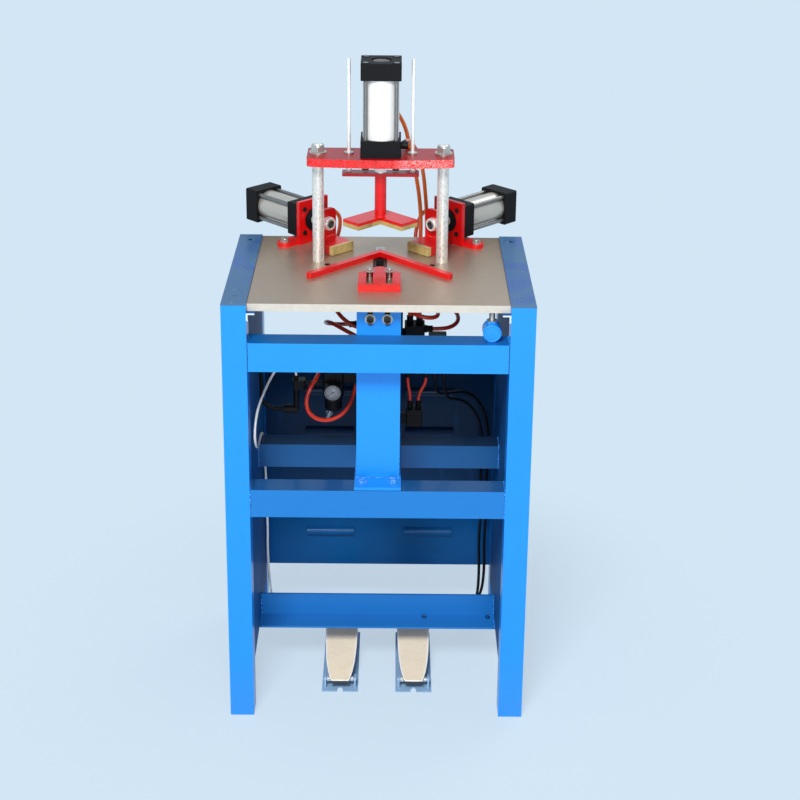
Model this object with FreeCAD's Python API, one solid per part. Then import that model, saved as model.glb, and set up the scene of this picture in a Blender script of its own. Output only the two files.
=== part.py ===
"""Pneumatic picture frame underpinner (V-nailer) on a steel cabinet.

Axes: +X right, +Y back, +Z up, in millimetres.  The pieces are drawn from the
cabinet's front face (y = 0) and from the floor (z = 0), and save() moves them so
that the origin is the middle of the whole machine's footprint.
"""
import FreeCAD
import Part
import math
import os

V = FreeCAD.Vector
ROOT2 = math.sqrt(2.0)

# ---------------------------------------------------------------- cabinet
CABINET_WIDTH = 560.0
CABINET_DEPTH = 395.0
TABLE_TOP = 842.0
LEG = 45.0                  # square tube of the legs, and thickness of a side
TUBE_WALL = 2.0
FOOT_PLATE = 3.0            # closes the bottom of each leg
SHEET = 1.5                 # side and back sheets
SIDE_BOTTOM = 100.0
BEAM_HEIGHT = 55.0
BEAM_DEPTH = 45.0
UPPER_BEAM_TOP = 771.0
MIDDLE_BEAM_TOP = 480.0
FRONT_RECESS = 2.0          # the middle front beam stands this far behind the legs' face
REAR_BEAM_Y = 196.0         # front face of the middle rear beam
REAR_BEAM_HEIGHT = 48.0
RAIL_CORNER_Y = 203.0       # inner corner of the bottom angle rail
RAIL_TOP = 100.0
RAIL_LEG = 50.0
RAIL_WALL = 4.0
STRIP_THICK = 3.0
LEDGE = 15.0
LEDGE_WALL = 3.0
PANEL_BOTTOM = 110.0
PANEL_TOP = 600.0
PANEL_INSET = 4.0           # back panel to the rear of the legs
SLOT_LENGTH = 100.0
SLOT_HEIGHT = 9.0
SLOT_X = 102.5
SLOT_ROWS = (184.0, 416.0, 505.0)
LOUVRE_REACH = 9.5

# ---------------------------------------------------------------- table and nailing point
TABLE_THICK = 14.0
TABLE_FRONT_Y = 12.0        # front edge, behind the legs' face
FENCE_APEX_Y = 289.0        # rear corner of the fence, where the mitre is nailed
FENCE_BAR = 12.0
FENCE_HEIGHT = 10.0
FENCE_ARM = 193.0
NOSE_WIDTH = 17.0
NOSE_DEPTH = 31.7
NOSE_PROUD = 4.0
NOSE_FOOT_WIDTH = 40.0
NAIL_LEG = 7.0              # length of each side of the V-shaped nail slot
NAIL_SLOT = 1.6
MAGAZINE_WIDTH = 26.0
MAGAZINE_CHANNEL = 14.0
MAGAZINE_DEPTH = 24.0
MAGAZINE_FRONT_Y = 95.0
MAGAZINE_DROP = 1.0         # below the table's top
MAGAZINE_WALL = 5.0
PUSHER_LENGTH = 25.0
PUSHER_TRAVEL = 120.0
COVER_WIDTH = 78.0
COVER_FRONT_Y = 78.0
COVER_THICK = 13.0
COVER_APEX_Y = 185.0
COVER_SLOT = 12.0
COVER_SLOT_X = 18.0
COVER_BOLT_Y = 152.0
COVER_TRAVEL = 60.0

# ---------------------------------------------------------------- driver under the table
COLUMN_WIDTH = 80.0
COLUMN_DEPTH = 145.0
COLUMN_WALL = 6.0
COLUMN_BASE = 6.0
COLUMN_BASE_WIDTH = 86.0
COLUMN_SLOT_X = 15.5
COLUMN_SLOT_WIDTH = 10.0
COLUMN_SLOT_BOTTOM = 789.0
CARRIER_SCREW_Z = 802.0
CARRIER_TOP = 752.0
CARRIER_PLATE = 12.0
CARRIER_PAD = 20.0
DRIVER_BODY = 90.0
DRIVER_HEIGHT = 120.0
DRIVER_ROD = 8.0            # radius
DRIVER_ROD_DEPTH = 60.0     # part of the rod inside the body when lowered
BLADE_RISE = 25.0           # carrier top to the foot of the blade when lowered
DRIVER_STROKE = 18.0

# ---------------------------------------------------------------- press over the table
PRESS_Y = 248.0
POST_X = 117.5
POST_RADIUS = 11.0
POST_THREAD = 8.0
POST_HEIGHT = 197.0
TOP_PLATE_WIDTH = 274.0
TOP_PLATE_THICK = 16.0
TOP_PLATE_FRONT = 50.0      # centre line to the front edge, in the middle
TOP_PLATE_BACK = 37.5
TOP_PLATE_BOW = 11.0
TOP_PLATE_CORNER = 9.0
CAP = 75.0                  # square end caps of the press cylinder
CAP_THICK = 32.0
TIE_SPACING = 56.5
TIE_RADIUS = 4.0
TIE_NUT_AF = 10.0
TIE_NUT_HEIGHT = 1.0
BORE_RADIUS = 31.5
TUBE_RADIUS = 34.0
ROD_RADIUS = 10.0
GLAND_RADIUS = 22.5
PORT_RADIUS = 5.5
PORT_DEPTH = 8.0
GLAND_PROUD = 4.0
CAP_RECESS = 3.0
PISTON_THICK = 20.0
PRESS_TUBE = 114.0
PRESS_STROKE = 50.0
YOKE_WIDTH = 144.0
YOKE_DEPTH = 25.0
YOKE_THICK = 6.5
YOKE_GAP = 19.5             # top plate to yoke when raised
GUIDE_X = 59.5
GUIDE_RADIUS = 3.5
GUIDE_LENGTH = 222.0
BUSH_RADIUS = 7.0
STEM_RADIUS = 11.0
FOOT_ARM = 57.0             # inner length of each arm
FOOT_WIDTH = 42.0
FOOT_THICK = 6.0
FOOT_FORWARD = 8.0          # stem axis to the inner corner of the V foot
PAD_THICK = 8.0
PAD_LIFT = 76.0             # pad above the table when raised

# ---------------------------------------------------------------- side clamps
CLAMP_OPENING = 53.0        # pad face to fence when open
CLAMP_REACH = 94.0          # bracket face to pad face when open
CLAMP_OFFSET = 127.4        # along the fence, mitre corner line to the bracket's near edge
CLAMP_STROKE = 25.0
CLAMP_CAP = 66.0            # square end caps of the clamp cylinders
CLAMP_TIE_SPACING = 48.0
CLAMP_TUBE = 94.0
CLAMP_TUBE_RADIUS = 28.5
CLAMP_BORE_RADIUS = 25.0
CLAMP_AXIS_Z = 46.5
BRACKET_WIDTH = 75.0
BRACKET_THICK = 8.0
BRACKET_HEIGHT = 87.0
EAR_RADIUS = 15.0
EAR_BACK = 20.0
EAR_OUT = 21.0
UNDER_BOLT_BACK = 13.0
UNDER_BOLTS = (16.0, 46.0)
JAW_WIDTH = 56.0
JAW_THICK = 8.0
JAW_FACE = 38.0             # bracket face to the front of the jaw's upright
JAW_HEIGHT = 74.0
JAW_SHIFT = 10.0            # upright's near edge from the foot's
JAW_UPRIGHT = 52.0
JAW_CORNER = 10.0
JAW_FOOT_HEIGHT = 18.0
JAW_PAD = 8.0
JAW_LIFT = 1.0

# ---------------------------------------------------------------- fasteners and clearances
RUNNING = 0.06              # radial play of rods and pistons
SEAT = 0.3                  # play beside a moving or curved neighbour
BOLT_RADIUS = 4.0
BOLT_HEAD_AF = 13.0
BOLT_HEAD = 5.5
WASHER_RADIUS = 9.0
WASHER = 1.6
NUT_AF = 24.0
NUT_HEIGHT = 13.0
JAM_NUT_HEIGHT = 10.0
SOCKET_RADIUS = 6.5
SCREW_HEAD_RADIUS = 5.0
SCREW_RADIUS = 2.5
PLATE_SCREW_HEAD = 8.0

# ---------------------------------------------------------------- pedals and air line
PEDAL_X = 72.5
PEDAL_FRONT_Y = 79.0
PEDAL_WIDTH = 71.0
PEDAL_LENGTH = 215.0
PEDAL_SHEET = 2.5
HEEL_Y = 99.0
HEEL_Z = 17.0
TREAD_LENGTH = 158.0
TREAD_REAR_WIDTH = 65.0
TREAD_FRONT_WIDTH = 34.0
TREAD_THICK = 7.0
TREAD_SLOPE = 14.0          # degrees
HEEL_PIN = 3.0
HEEL_SPAN = 55.0
PEDAL_TRAVEL = 8.0          # degrees
VALVE_HEIGHT = 26.0
VALVE_DEPTH = 36.0
MANIFOLD_WIDTH = 84.0
MANIFOLD_HEIGHT = 24.0
TALL_VALVE = 71.0           # above the manifold
LOW_VALVE = 48.0
PILOT_TOP = 562.0
MANIFOLD_PITCH = 17.5
REG_X = -88.0
REG_Y = 205.0
REG_RADIUS = 20.0
REG_BOTTOM = 552.0
REG_TOP = 652.0
REG_BOWL = 35.0
REG_SPINDLE = 6.0
KNOB_RADIUS = 19.0
KNOB_HEIGHT = 34.0
GAUGE_RADIUS = 18.0
GAUGE_Z = 606.0
GAUGE_DEPTH = 20.0
GAUGE_STEM = 6.0
HOSE_RADIUS = 4.0
THIN_HOSE_RADIUS = 3.0
DRAIN_RADIUS = 2.5
COUPLING_DROP = 54.0        # gauge axis to the inlet coupling
FITTING_RADIUS = 7.0
FITTING_LENGTH = 14.0
JACK_SIDE = 32.0            # inner face of the side to the jack's axis
JACK_RADIUS = 16.7
JACK_LENGTH = 30.0
JACK_FRONT_Y = 14.0
JACK_SCREW = 5.0

# ---------------------------------------------------------------- places worked out from the sizes
HALF_WIDTH = CABINET_WIDTH / 2
INNER_X = HALF_WIDTH - LEG
TABLE_BOTTOM = TABLE_TOP - TABLE_THICK
TABLE_EDGE_X = INNER_X - SEAT
JACK_X = INNER_X - JACK_SIDE
REAR_LEG_Y = CABINET_DEPTH - LEG
PLATE_BOTTOM = TABLE_TOP + POST_HEIGHT
PLATE_TOP = PLATE_BOTTOM + TOP_PLATE_THICK
YOKE_TOP = PLATE_BOTTOM - YOKE_GAP
YOKE_BOTTOM = YOKE_TOP - YOKE_THICK
FOOT_BOTTOM = TABLE_TOP + PAD_LIFT + PAD_THICK
FOOT_TOP = FOOT_BOTTOM + FOOT_THICK
NOSE_FRONT_Y = FENCE_APEX_Y + SEAT
NOSE_Y = NOSE_FRONT_Y + NOSE_DEPTH / 2
NOSE_TOP = TABLE_TOP + NOSE_PROUD
MAGAZINE_FLOOR = TABLE_TOP - MAGAZINE_DROP - MAGAZINE_DEPTH + MAGAZINE_WALL
CARRIER_BOTTOM = CARRIER_TOP - CARRIER_PLATE
COLUMN_Y = BEAM_DEPTH
COLUMN_REAR_Y = COLUMN_Y + COLUMN_DEPTH
COLUMN_BOTTOM = MIDDLE_BEAM_TOP + COLUMN_BASE
FACE_D = -FENCE_APEX_Y / ROOT2 - CLAMP_OPENING - CLAMP_REACH
CLAMP_CORNER = V((FACE_D + CLAMP_OFFSET) / ROOT2, (CLAMP_OFFSET - FACE_D) / ROOT2, TABLE_TOP)
CLAMP_LENGTH = BRACKET_THICK + 2 * CAP_THICK + CLAMP_TUBE
CLAMP_INNER = (BRACKET_WIDTH + CLAMP_CAP) / 2
OVERALL_DEPTH = (CLAMP_OFFSET + CLAMP_INNER - FACE_D + CLAMP_LENGTH) / ROOT2
CENTRE_Y = OVERALL_DEPTH / 2
PANEL_Y = CABINET_DEPTH - PANEL_INSET - SHEET
VALVE_X = COLUMN_WIDTH / 2 + 8.0
VALVE_Y = 180.0
VALVE_Z = 640.0
TALL_VALVE_TOP = VALVE_Z + MANIFOLD_HEIGHT + TALL_VALVE
LOW_VALVE_TOP = VALVE_Z + MANIFOLD_HEIGHT + LOW_VALVE
PRESS_BORE = (CAP, TIE_SPACING, TUBE_RADIUS, BORE_RADIUS)
CLAMP_BORE = (CLAMP_CAP, CLAMP_TIE_SPACING, CLAMP_TUBE_RADIUS, CLAMP_BORE_RADIUS)


# ---------------------------------------------------------------- small tools
def block(x0, x1, y0, y1, z0, z1):
    return Part.makeBox(x1 - x0, y1 - y0, z1 - z0, V(x0, y0, z0))


def round_bar(radius, length, base, direction=V(0, 0, 1)):
    return Part.makeCylinder(radius, length, base, direction)


def prism(points, z0, height):
    """A straight solid over a flat outline given as (x, y) corners."""
    corners = [V(x, y, z0) for x, y in points]
    wire = Part.makePolygon(corners + corners[:1])
    return Part.Face(wire).extrude(V(0, 0, height))


def upright_edges(shape):
    return [e for e in shape.Edges if abs(e.tangentAt(e.FirstParameter).z) > 0.999]


def rounded(shape, radius):
    return shape.makeFillet(radius, upright_edges(shape))


def hexagon(across_flats, height, base, hole=0.0):
    corner = across_flats / math.sqrt(3.0)
    steps = [math.radians(60 * i + 30) for i in range(6)]
    outline = [(base.x + corner * math.cos(a), base.y + corner * math.sin(a)) for a in steps]
    body = prism(outline, base.z, height)
    dome = Part.makeCone(corner * 1.02, corner * 0.86, height, base)
    body = body.common(dome.fuse(round_bar(corner * 0.98, height * 0.8, base)))
    if hole:
        body = body.cut(round_bar(hole, height, base))
    return body


def slot_cutter(x, width, y0, y1, z0, z1):
    """A round-ended cutter along Y between two end centres."""
    middle = block(x - width / 2, x + width / 2, y0, y1, z0, z1)
    ends = [round_bar(width / 2, z1 - z0, V(x, y, z0)) for y in (y0, y1)]
    return middle.fuse(ends)


def mirrored(shape):
    return shape.mirror(V(0, 0, 0), V(1, 0, 0))


def hex_bolt(base, shank, up=V(0, 0, 1)):
    """Bolt with washer; base is the centre of the seat, and up points to the head."""
    washer = round_bar(WASHER_RADIUS, WASHER, V(0, 0, 0))
    head = hexagon(BOLT_HEAD_AF, BOLT_HEAD, V(0, 0, WASHER))
    bolt = washer.fuse([head, round_bar(BOLT_RADIUS, shank, V(0, 0, 0), V(0, 0, -1))])
    return place(bolt, base, up)


def socket_screw(radius, head, shank_radius, shank):
    """Cap screw with its seat at the origin, head upwards."""
    body = round_bar(radius, head, V(0, 0, 0))
    socket = hexagon(radius, head * 0.6, V(0, 0, head * 0.5))
    return body.cut(socket).fuse(round_bar(shank_radius, shank, V(0, 0, 0), V(0, 0, -1)))


def place(shape, base, direction):
    """Turn a piece drawn along +Z to a direction and move its origin to base."""
    turn = FreeCAD.Rotation(V(0, 0, 1), direction)
    moved = shape.copy()
    moved.Placement = FreeCAD.Placement(base, turn).multiply(moved.Placement)
    return moved


saved = []


def save(node, pieces):
    """Write one node; pieces is a solid or a list of separate solids."""
    solids = []
    for piece in pieces if isinstance(pieces, list) else [pieces]:
        solids += piece.Solids
    for solid in solids:
        assert solid.isValid(), node
    shape = Part.makeCompound(solids) if len(solids) > 1 else solids[0]
    shape = shape.copy()
    shape.translate(V(0, -CENTRE_Y, 0))
    shape.exportStep("parts/%s.step" % node)
    saved.append(node)


# ---------------------------------------------------------------- cabinet pieces
def legs():
    pieces = []
    for x0 in (-HALF_WIDTH, INNER_X):
        for y0 in (0, REAR_LEG_Y):
            tube = block(x0, x0 + LEG, y0, y0 + LEG, 0, TABLE_TOP)
            hollow = block(x0 + TUBE_WALL, x0 + LEG - TUBE_WALL, y0 + TUBE_WALL, y0 + LEG - TUBE_WALL,
                           FOOT_PLATE, TABLE_TOP)
            pieces.append(tube.cut(hollow))
    return pieces


def side_panel():
    """Left side: a folded double sheet between the legs, with the table's ledge."""
    pan = block(-HALF_WIDTH, -INNER_X, LEG, REAR_LEG_Y, SIDE_BOTTOM, TABLE_TOP)
    hollow = block(-HALF_WIDTH + SHEET, -INNER_X - SHEET, LEG + SHEET, REAR_LEG_Y - SHEET,
                   SIDE_BOTTOM, TABLE_TOP - SHEET)
    angle = block(-INNER_X, -INNER_X + LEDGE, 0, CABINET_DEPTH, TABLE_BOTTOM - LEDGE, TABLE_BOTTOM)
    angle = angle.cut(block(-INNER_X + LEDGE_WALL, -INNER_X + LEDGE, 0, CABINET_DEPTH,
                            TABLE_BOTTOM - LEDGE, TABLE_BOTTOM - LEDGE_WALL))
    return pan.cut(hollow).fuse(angle)


def top_strips():
    strip = block(-HALF_WIDTH, -INNER_X, 0, CABINET_DEPTH, TABLE_TOP, TABLE_TOP + STRIP_THICK)
    for y in strip_screw_places():
        base = V(strip_screw_x(), y, TABLE_TOP)
        strip = strip.cut(Part.makeCone(SCREW_RADIUS, SCREW_HEAD_RADIUS, STRIP_THICK, base))
    return [strip, mirrored(strip)]


def strip_screw_places():
    return (42.0, 201.0, 361.0)


def strip_screw_x():
    return -HALF_WIDTH + LEG / 2


def rail_screw_places():
    return (94.0, 222.0)


def cabinet_screws():
    """Countersunk screws of the top strips and pan heads on the bottom rail."""
    pieces = []
    for y in strip_screw_places():
        base = V(strip_screw_x(), y, TABLE_TOP)
        cone = Part.makeCone(SCREW_RADIUS, SCREW_HEAD_RADIUS, STRIP_THICK, base)
        cross = block(base.x - 3, base.x + 3, y - 0.6, y + 0.6, TABLE_TOP + 1.8, TABLE_TOP + STRIP_THICK)
        screw = cone.cut(cross)
        pieces += [screw, mirrored(screw)]
    for x in rail_screw_places():
        base = V(x, RAIL_CORNER_Y - 9, RAIL_TOP)
        pieces.append(round_bar(SCREW_HEAD_RADIUS, 2.5, base))
    return pieces


def beam(y0, top, height):
    tube = block(-INNER_X, INNER_X, y0, y0 + BEAM_DEPTH, top - height, top)
    bore = block(-INNER_X, INNER_X, y0 + TUBE_WALL, y0 + BEAM_DEPTH - TUBE_WALL,
                 top - height + TUBE_WALL, top - TUBE_WALL)
    return tube.cut(bore)


def bottom_rail():
    upright = block(-INNER_X, INNER_X, RAIL_CORNER_Y, RAIL_CORNER_Y + RAIL_WALL,
                    RAIL_TOP - RAIL_WALL, RAIL_TOP - RAIL_WALL + RAIL_LEG)
    shelf = block(-INNER_X, INNER_X, RAIL_CORNER_Y + RAIL_WALL - RAIL_LEG, RAIL_CORNER_Y + RAIL_WALL,
                  RAIL_TOP - RAIL_WALL, RAIL_TOP)
    return upright.fuse(shelf).removeSplitter()


def back_panel():
    """Rear sheet with rows of pressed louvres over their slots."""
    panel = block(-INNER_X, INNER_X, PANEL_Y, PANEL_Y + SHEET, PANEL_BOTTOM, PANEL_TOP)
    hoods = []
    for row in SLOT_ROWS:
        for x in (-SLOT_X, SLOT_X):
            run = (SLOT_LENGTH - SLOT_HEIGHT) / 2
            slot = slot_cutter(x, SLOT_HEIGHT, -run, run, -2 * SHEET, 2 * SHEET)
            slot.translate(V(-x, 0, 0))
            slot.rotate(V(0, 0, 0), V(0, 0, 1), 90)
            slot.rotate(V(0, 0, 0), V(1, 0, 0), 90)
            slot.translate(V(x, PANEL_Y, row))
            panel = panel.cut(slot)
            hoods.append(louvre(x, row))
    return panel.fuse(hoods)


def louvre(x, row):
    """Half-round hood pressed inwards along the upper edge of a slot."""
    radius = LOUVRE_REACH
    base = V(x - SLOT_LENGTH / 2, PANEL_Y, row + SLOT_HEIGHT / 2)
    outer = round_bar(radius, SLOT_LENGTH, base, V(1, 0, 0))
    inner = round_bar(radius - SHEET, SLOT_LENGTH - 2 * SHEET, base + V(SHEET, 0, 0), V(1, 0, 0))
    keep = block(base.x, base.x + SLOT_LENGTH, PANEL_Y - radius, PANEL_Y, base.z - radius, base.z + radius)
    mouth = block(base.x, base.x + SLOT_LENGTH, PANEL_Y - radius, PANEL_Y,
                  base.z - radius, base.z - radius / 2)
    return outer.cut(inner).common(keep).cut(mouth)


def table_plate():
    plate = block(-TABLE_EDGE_X, TABLE_EDGE_X, TABLE_FRONT_Y, CABINET_DEPTH, TABLE_BOTTOM, TABLE_TOP)
    half = MAGAZINE_WIDTH / 2 + SEAT
    plate = plate.cut(block(-half, half, MAGAZINE_FRONT_Y - SEAT, NOSE_FRONT_Y, TABLE_BOTTOM, TABLE_TOP))
    nose = NOSE_WIDTH / 2 + SEAT
    plate = plate.cut(block(-nose, nose, NOSE_FRONT_Y - SEAT, NOSE_FRONT_Y + NOSE_DEPTH + SEAT,
                            TABLE_BOTTOM, TABLE_TOP))
    holes = [round_bar(POST_THREAD, TABLE_THICK, V(x, PRESS_Y, TABLE_BOTTOM)) for x in (-POST_X, POST_X)]
    for x in (-COVER_SLOT_X, COVER_SLOT_X):
        holes.append(round_bar(BOLT_RADIUS, TABLE_THICK, V(x, COVER_BOLT_Y, TABLE_BOTTOM)))
    for spot in ear_places() + under_bolt_places():
        holes.append(round_bar(BOLT_RADIUS, TABLE_THICK, V(spot.x, spot.y, TABLE_BOTTOM)))
    for x, y in table_screw_places():
        holes.append(round_bar(BOLT_RADIUS, TABLE_THICK, V(x, y, TABLE_BOTTOM)))
        holes.append(round_bar(SOCKET_RADIUS, TABLE_THICK, V(x, y, TABLE_BOTTOM + TABLE_THICK / 2)))
    return plate.cut(holes)


def table_screw_places():
    return ((-99.5, 226.0), (99.5, 226.0))


def table_jack():
    """Round nut lying on the upper beam, with the screw that props the table's edge."""
    axis_z = UPPER_BEAM_TOP + JACK_RADIUS
    barrel = round_bar(JACK_RADIUS, JACK_LENGTH, V(JACK_X, JACK_FRONT_Y, axis_z), V(0, 1, 0))
    collar = round_bar(JACK_SCREW * 2, JACK_RADIUS + 4, V(JACK_X, JACK_FRONT_Y + JACK_LENGTH / 2, axis_z))
    screw_base = V(JACK_X, JACK_FRONT_Y + JACK_LENGTH / 2, axis_z + JACK_RADIUS + 4)
    screw = round_bar(JACK_SCREW, TABLE_BOTTOM - screw_base.z, screw_base)
    return [barrel.fuse(collar), screw]


# ---------------------------------------------------------------- fence, magazine and nose
def vee(inner_y, inner_arm, width, z0, height):
    """Flat right-angled V with its corner to the back and its arms forwards."""
    reach = inner_arm / ROOT2
    step = width / ROOT2
    half = [(0, inner_y), (-reach, inner_y - reach), (-reach - step, inner_y - reach + step)]
    outline = half + [(0, inner_y + width * ROOT2)] + [(-x, y) for x, y in reversed(half[1:])]
    return prism(outline, z0, height)


def mitre_fence():
    bar = vee(FENCE_APEX_Y - FENCE_BAR * ROOT2, FENCE_ARM - FENCE_BAR, FENCE_BAR, TABLE_TOP, FENCE_HEIGHT)
    ends = [e for e in upright_edges(bar) if abs(e.CenterOfMass.x) > FENCE_ARM / 2]
    return bar.makeFillet(FENCE_BAR / 5, ends)


def nail_path(length, play, z0, height):
    """V-shaped column: two thin legs that meet at the mitre line, corner forwards."""
    wide = NAIL_SLOT / 2 - play
    leg = block(-wide, wide, -wide, length, z0, height + z0)
    one = leg.copy()
    one.rotate(V(0, 0, 0), V(0, 0, 1), 45)
    two = leg.copy()
    two.rotate(V(0, 0, 0), V(0, 0, 1), -45)
    both = one.fuse(two).removeSplitter()
    both.translate(V(0, NOSE_Y, 0))
    return both


def nail_nose():
    """Guide block above the driver: a wide foot and a narrow nose through the table."""
    foot = block(-NOSE_FOOT_WIDTH / 2, NOSE_FOOT_WIDTH / 2, NOSE_FRONT_Y, NOSE_FRONT_Y + NOSE_DEPTH,
                 CARRIER_TOP, TABLE_BOTTOM - SEAT)
    nose = block(-NOSE_WIDTH / 2, NOSE_WIDTH / 2, NOSE_FRONT_Y, NOSE_FRONT_Y + NOSE_DEPTH,
                 CARRIER_TOP, NOSE_TOP)
    body = foot.fuse(nose).removeSplitter()
    rod_rise = blade_base() + DRIVER_STROKE + SEAT - CARRIER_TOP
    rod_room = round_bar(DRIVER_ROD + SEAT, rod_rise, V(0, NOSE_Y, CARRIER_TOP))
    window = block(-MAGAZINE_CHANNEL / 2, MAGAZINE_CHANNEL / 2, NOSE_FRONT_Y, NOSE_Y,
                   MAGAZINE_FLOOR, TABLE_TOP - MAGAZINE_DROP)
    return body.cut([nail_path(NAIL_LEG, 0.0, CARRIER_TOP, NOSE_TOP - CARRIER_TOP), rod_room, window])


def blade_base():
    """Height of the driver rod's top, where the blade starts, when lowered."""
    return CARRIER_TOP + BLADE_RISE


def driver_blade():
    rod_bottom = CARRIER_BOTTOM - DRIVER_ROD_DEPTH
    rod = round_bar(DRIVER_ROD, blade_base() - rod_bottom, V(0, NOSE_Y, rod_bottom))
    blade = nail_path(NAIL_LEG - SEAT, 0.2, blade_base() - 5, NOSE_TOP - DRIVER_STROKE - blade_base() + 5)
    return rod.fuse(blade)


def driver_cylinder():
    half = DRIVER_BODY / 2
    body = block(-half, half, NOSE_Y - half, NOSE_Y + half, CARRIER_BOTTOM - DRIVER_HEIGHT, CARRIER_BOTTOM)
    body = rounded(body, 6.0)
    depth = DRIVER_ROD_DEPTH + SEAT
    return body.cut(round_bar(DRIVER_ROD + RUNNING, depth, V(0, NOSE_Y, CARRIER_BOTTOM - depth)))


def driver_carrier():
    """Bracket clamped inside the column; it carries the nose and the driver cylinder."""
    half = COLUMN_WIDTH / 2 - COLUMN_WALL - SEAT
    front = COLUMN_Y + COLUMN_WALL
    pad = block(-half, half, front, front + CARRIER_PAD, CARRIER_BOTTOM, TABLE_BOTTOM - SEAT)
    plate = block(-half, half, front, NOSE_Y + DRIVER_BODY / 2, CARRIER_BOTTOM, CARRIER_TOP)
    root = V(-half, front + CARRIER_PAD, CARRIER_TOP)
    tip = V(-half, COLUMN_REAR_Y, CARRIER_TOP)
    crown = V(-half, front + CARRIER_PAD, TABLE_BOTTOM - 12)
    gusset = Part.makePolygon([root, tip, crown, root])
    web = Part.Face(gusset).extrude(V(COLUMN_WALL, 0, 0))
    body = pad.fuse([plate, web, mirrored(web)]).removeSplitter()
    holes = [round_bar(DRIVER_ROD + SEAT, CARRIER_PLATE, V(0, NOSE_Y, CARRIER_BOTTOM))]
    for x in (-COLUMN_SLOT_X, COLUMN_SLOT_X):
        holes.append(round_bar(BOLT_RADIUS, CARRIER_PAD, V(x, front, CARRIER_SCREW_Z), V(0, 1, 0)))
    return body.cut(holes)


def driver_column():
    """U-shaped column, open to the back, welded to a base that bridges the two beams."""
    half = COLUMN_WIDTH / 2
    shell = block(-half, half, COLUMN_Y, COLUMN_REAR_Y, COLUMN_BOTTOM, TABLE_BOTTOM)
    inner = half - COLUMN_WALL
    shell = shell.cut(block(-inner, inner, COLUMN_Y + COLUMN_WALL, COLUMN_REAR_Y, COLUMN_BOTTOM, TABLE_BOTTOM))
    base = block(-COLUMN_BASE_WIDTH / 2, COLUMN_BASE_WIDTH / 2, 2 * FRONT_RECESS, REAR_BEAM_Y + BEAM_DEPTH,
                 MIDDLE_BEAM_TOP, COLUMN_BOTTOM)
    cuts = [round_bar(BOLT_RADIUS, COLUMN_BASE, V(x, y, MIDDLE_BEAM_TOP)) for x, y in column_bolt_places()]
    for x in (-COLUMN_SLOT_X, COLUMN_SLOT_X):
        wide = COLUMN_SLOT_WIDTH / 2
        cuts.append(block(x - wide, x + wide, COLUMN_Y, COLUMN_Y + COLUMN_WALL,
                          COLUMN_SLOT_BOTTOM + wide, TABLE_BOTTOM - 8))
        cuts.append(round_bar(wide, COLUMN_WALL, V(x, COLUMN_Y, COLUMN_SLOT_BOTTOM + wide), V(0, 1, 0)))
    return shell.fuse(base).removeSplitter().cut(cuts)


def column_bolt_places():
    front = COLUMN_Y - 17.0
    rear = REAR_BEAM_Y + BEAM_DEPTH / 2
    return [(x, y) for x in (-28.0, 28.0) for y in (front, rear)]


def magazine_rail():
    """Open channel that leads the stack of nails to the nose."""
    half = MAGAZINE_WIDTH / 2
    top = TABLE_TOP - MAGAZINE_DROP
    rail = block(-half, half, MAGAZINE_FRONT_Y, NOSE_FRONT_Y, top - MAGAZINE_DEPTH, top)
    channel = block(-MAGAZINE_CHANNEL / 2, MAGAZINE_CHANNEL / 2, MAGAZINE_FRONT_Y + MAGAZINE_WALL, NOSE_FRONT_Y,
                    MAGAZINE_FLOOR, top)
    return rail.cut(channel)


def magazine_pusher():
    half = MAGAZINE_CHANNEL / 2 - SEAT
    top = TABLE_TOP - 1.5
    rear = NOSE_FRONT_Y - MAGAZINE_WALL
    body = block(-half, half, rear - PUSHER_LENGTH, rear, MAGAZINE_FLOOR + 0.1, top)
    grip = round_bar(half * 0.7, 6.0, V(0, rear - PUSHER_LENGTH / 2, top - 6))
    return body.cut(grip)


def magazine_cover():
    """Slotted plate with a right-angled nose that slides towards the fence."""
    half = COVER_WIDTH / 2
    z0 = TABLE_TOP + 0.1
    outline = [(-half, COVER_FRONT_Y), (half, COVER_FRONT_Y), (half, COVER_APEX_Y - half), (0, COVER_APEX_Y),
               (-half, COVER_APEX_Y - half)]
    plate = prism(outline, z0, COVER_THICK)
    apex = [e for e in upright_edges(plate) if abs(e.CenterOfMass.x) < 1]
    plate = plate.makeFillet(12.0, apex)
    for x in (-COVER_SLOT_X, COVER_SLOT_X):
        plate = plate.cut(slot_cutter(x, COVER_SLOT, COVER_BOLT_Y - COVER_TRAVEL - 1.0, COVER_BOLT_Y + 1.0,
                                      z0, z0 + COVER_THICK))
    return plate


# ---------------------------------------------------------------- air cylinders
def corners(spacing):
    return [(x, y) for x in (-spacing / 2, spacing / 2) for y in (-spacing / 2, spacing / 2)]


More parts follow.
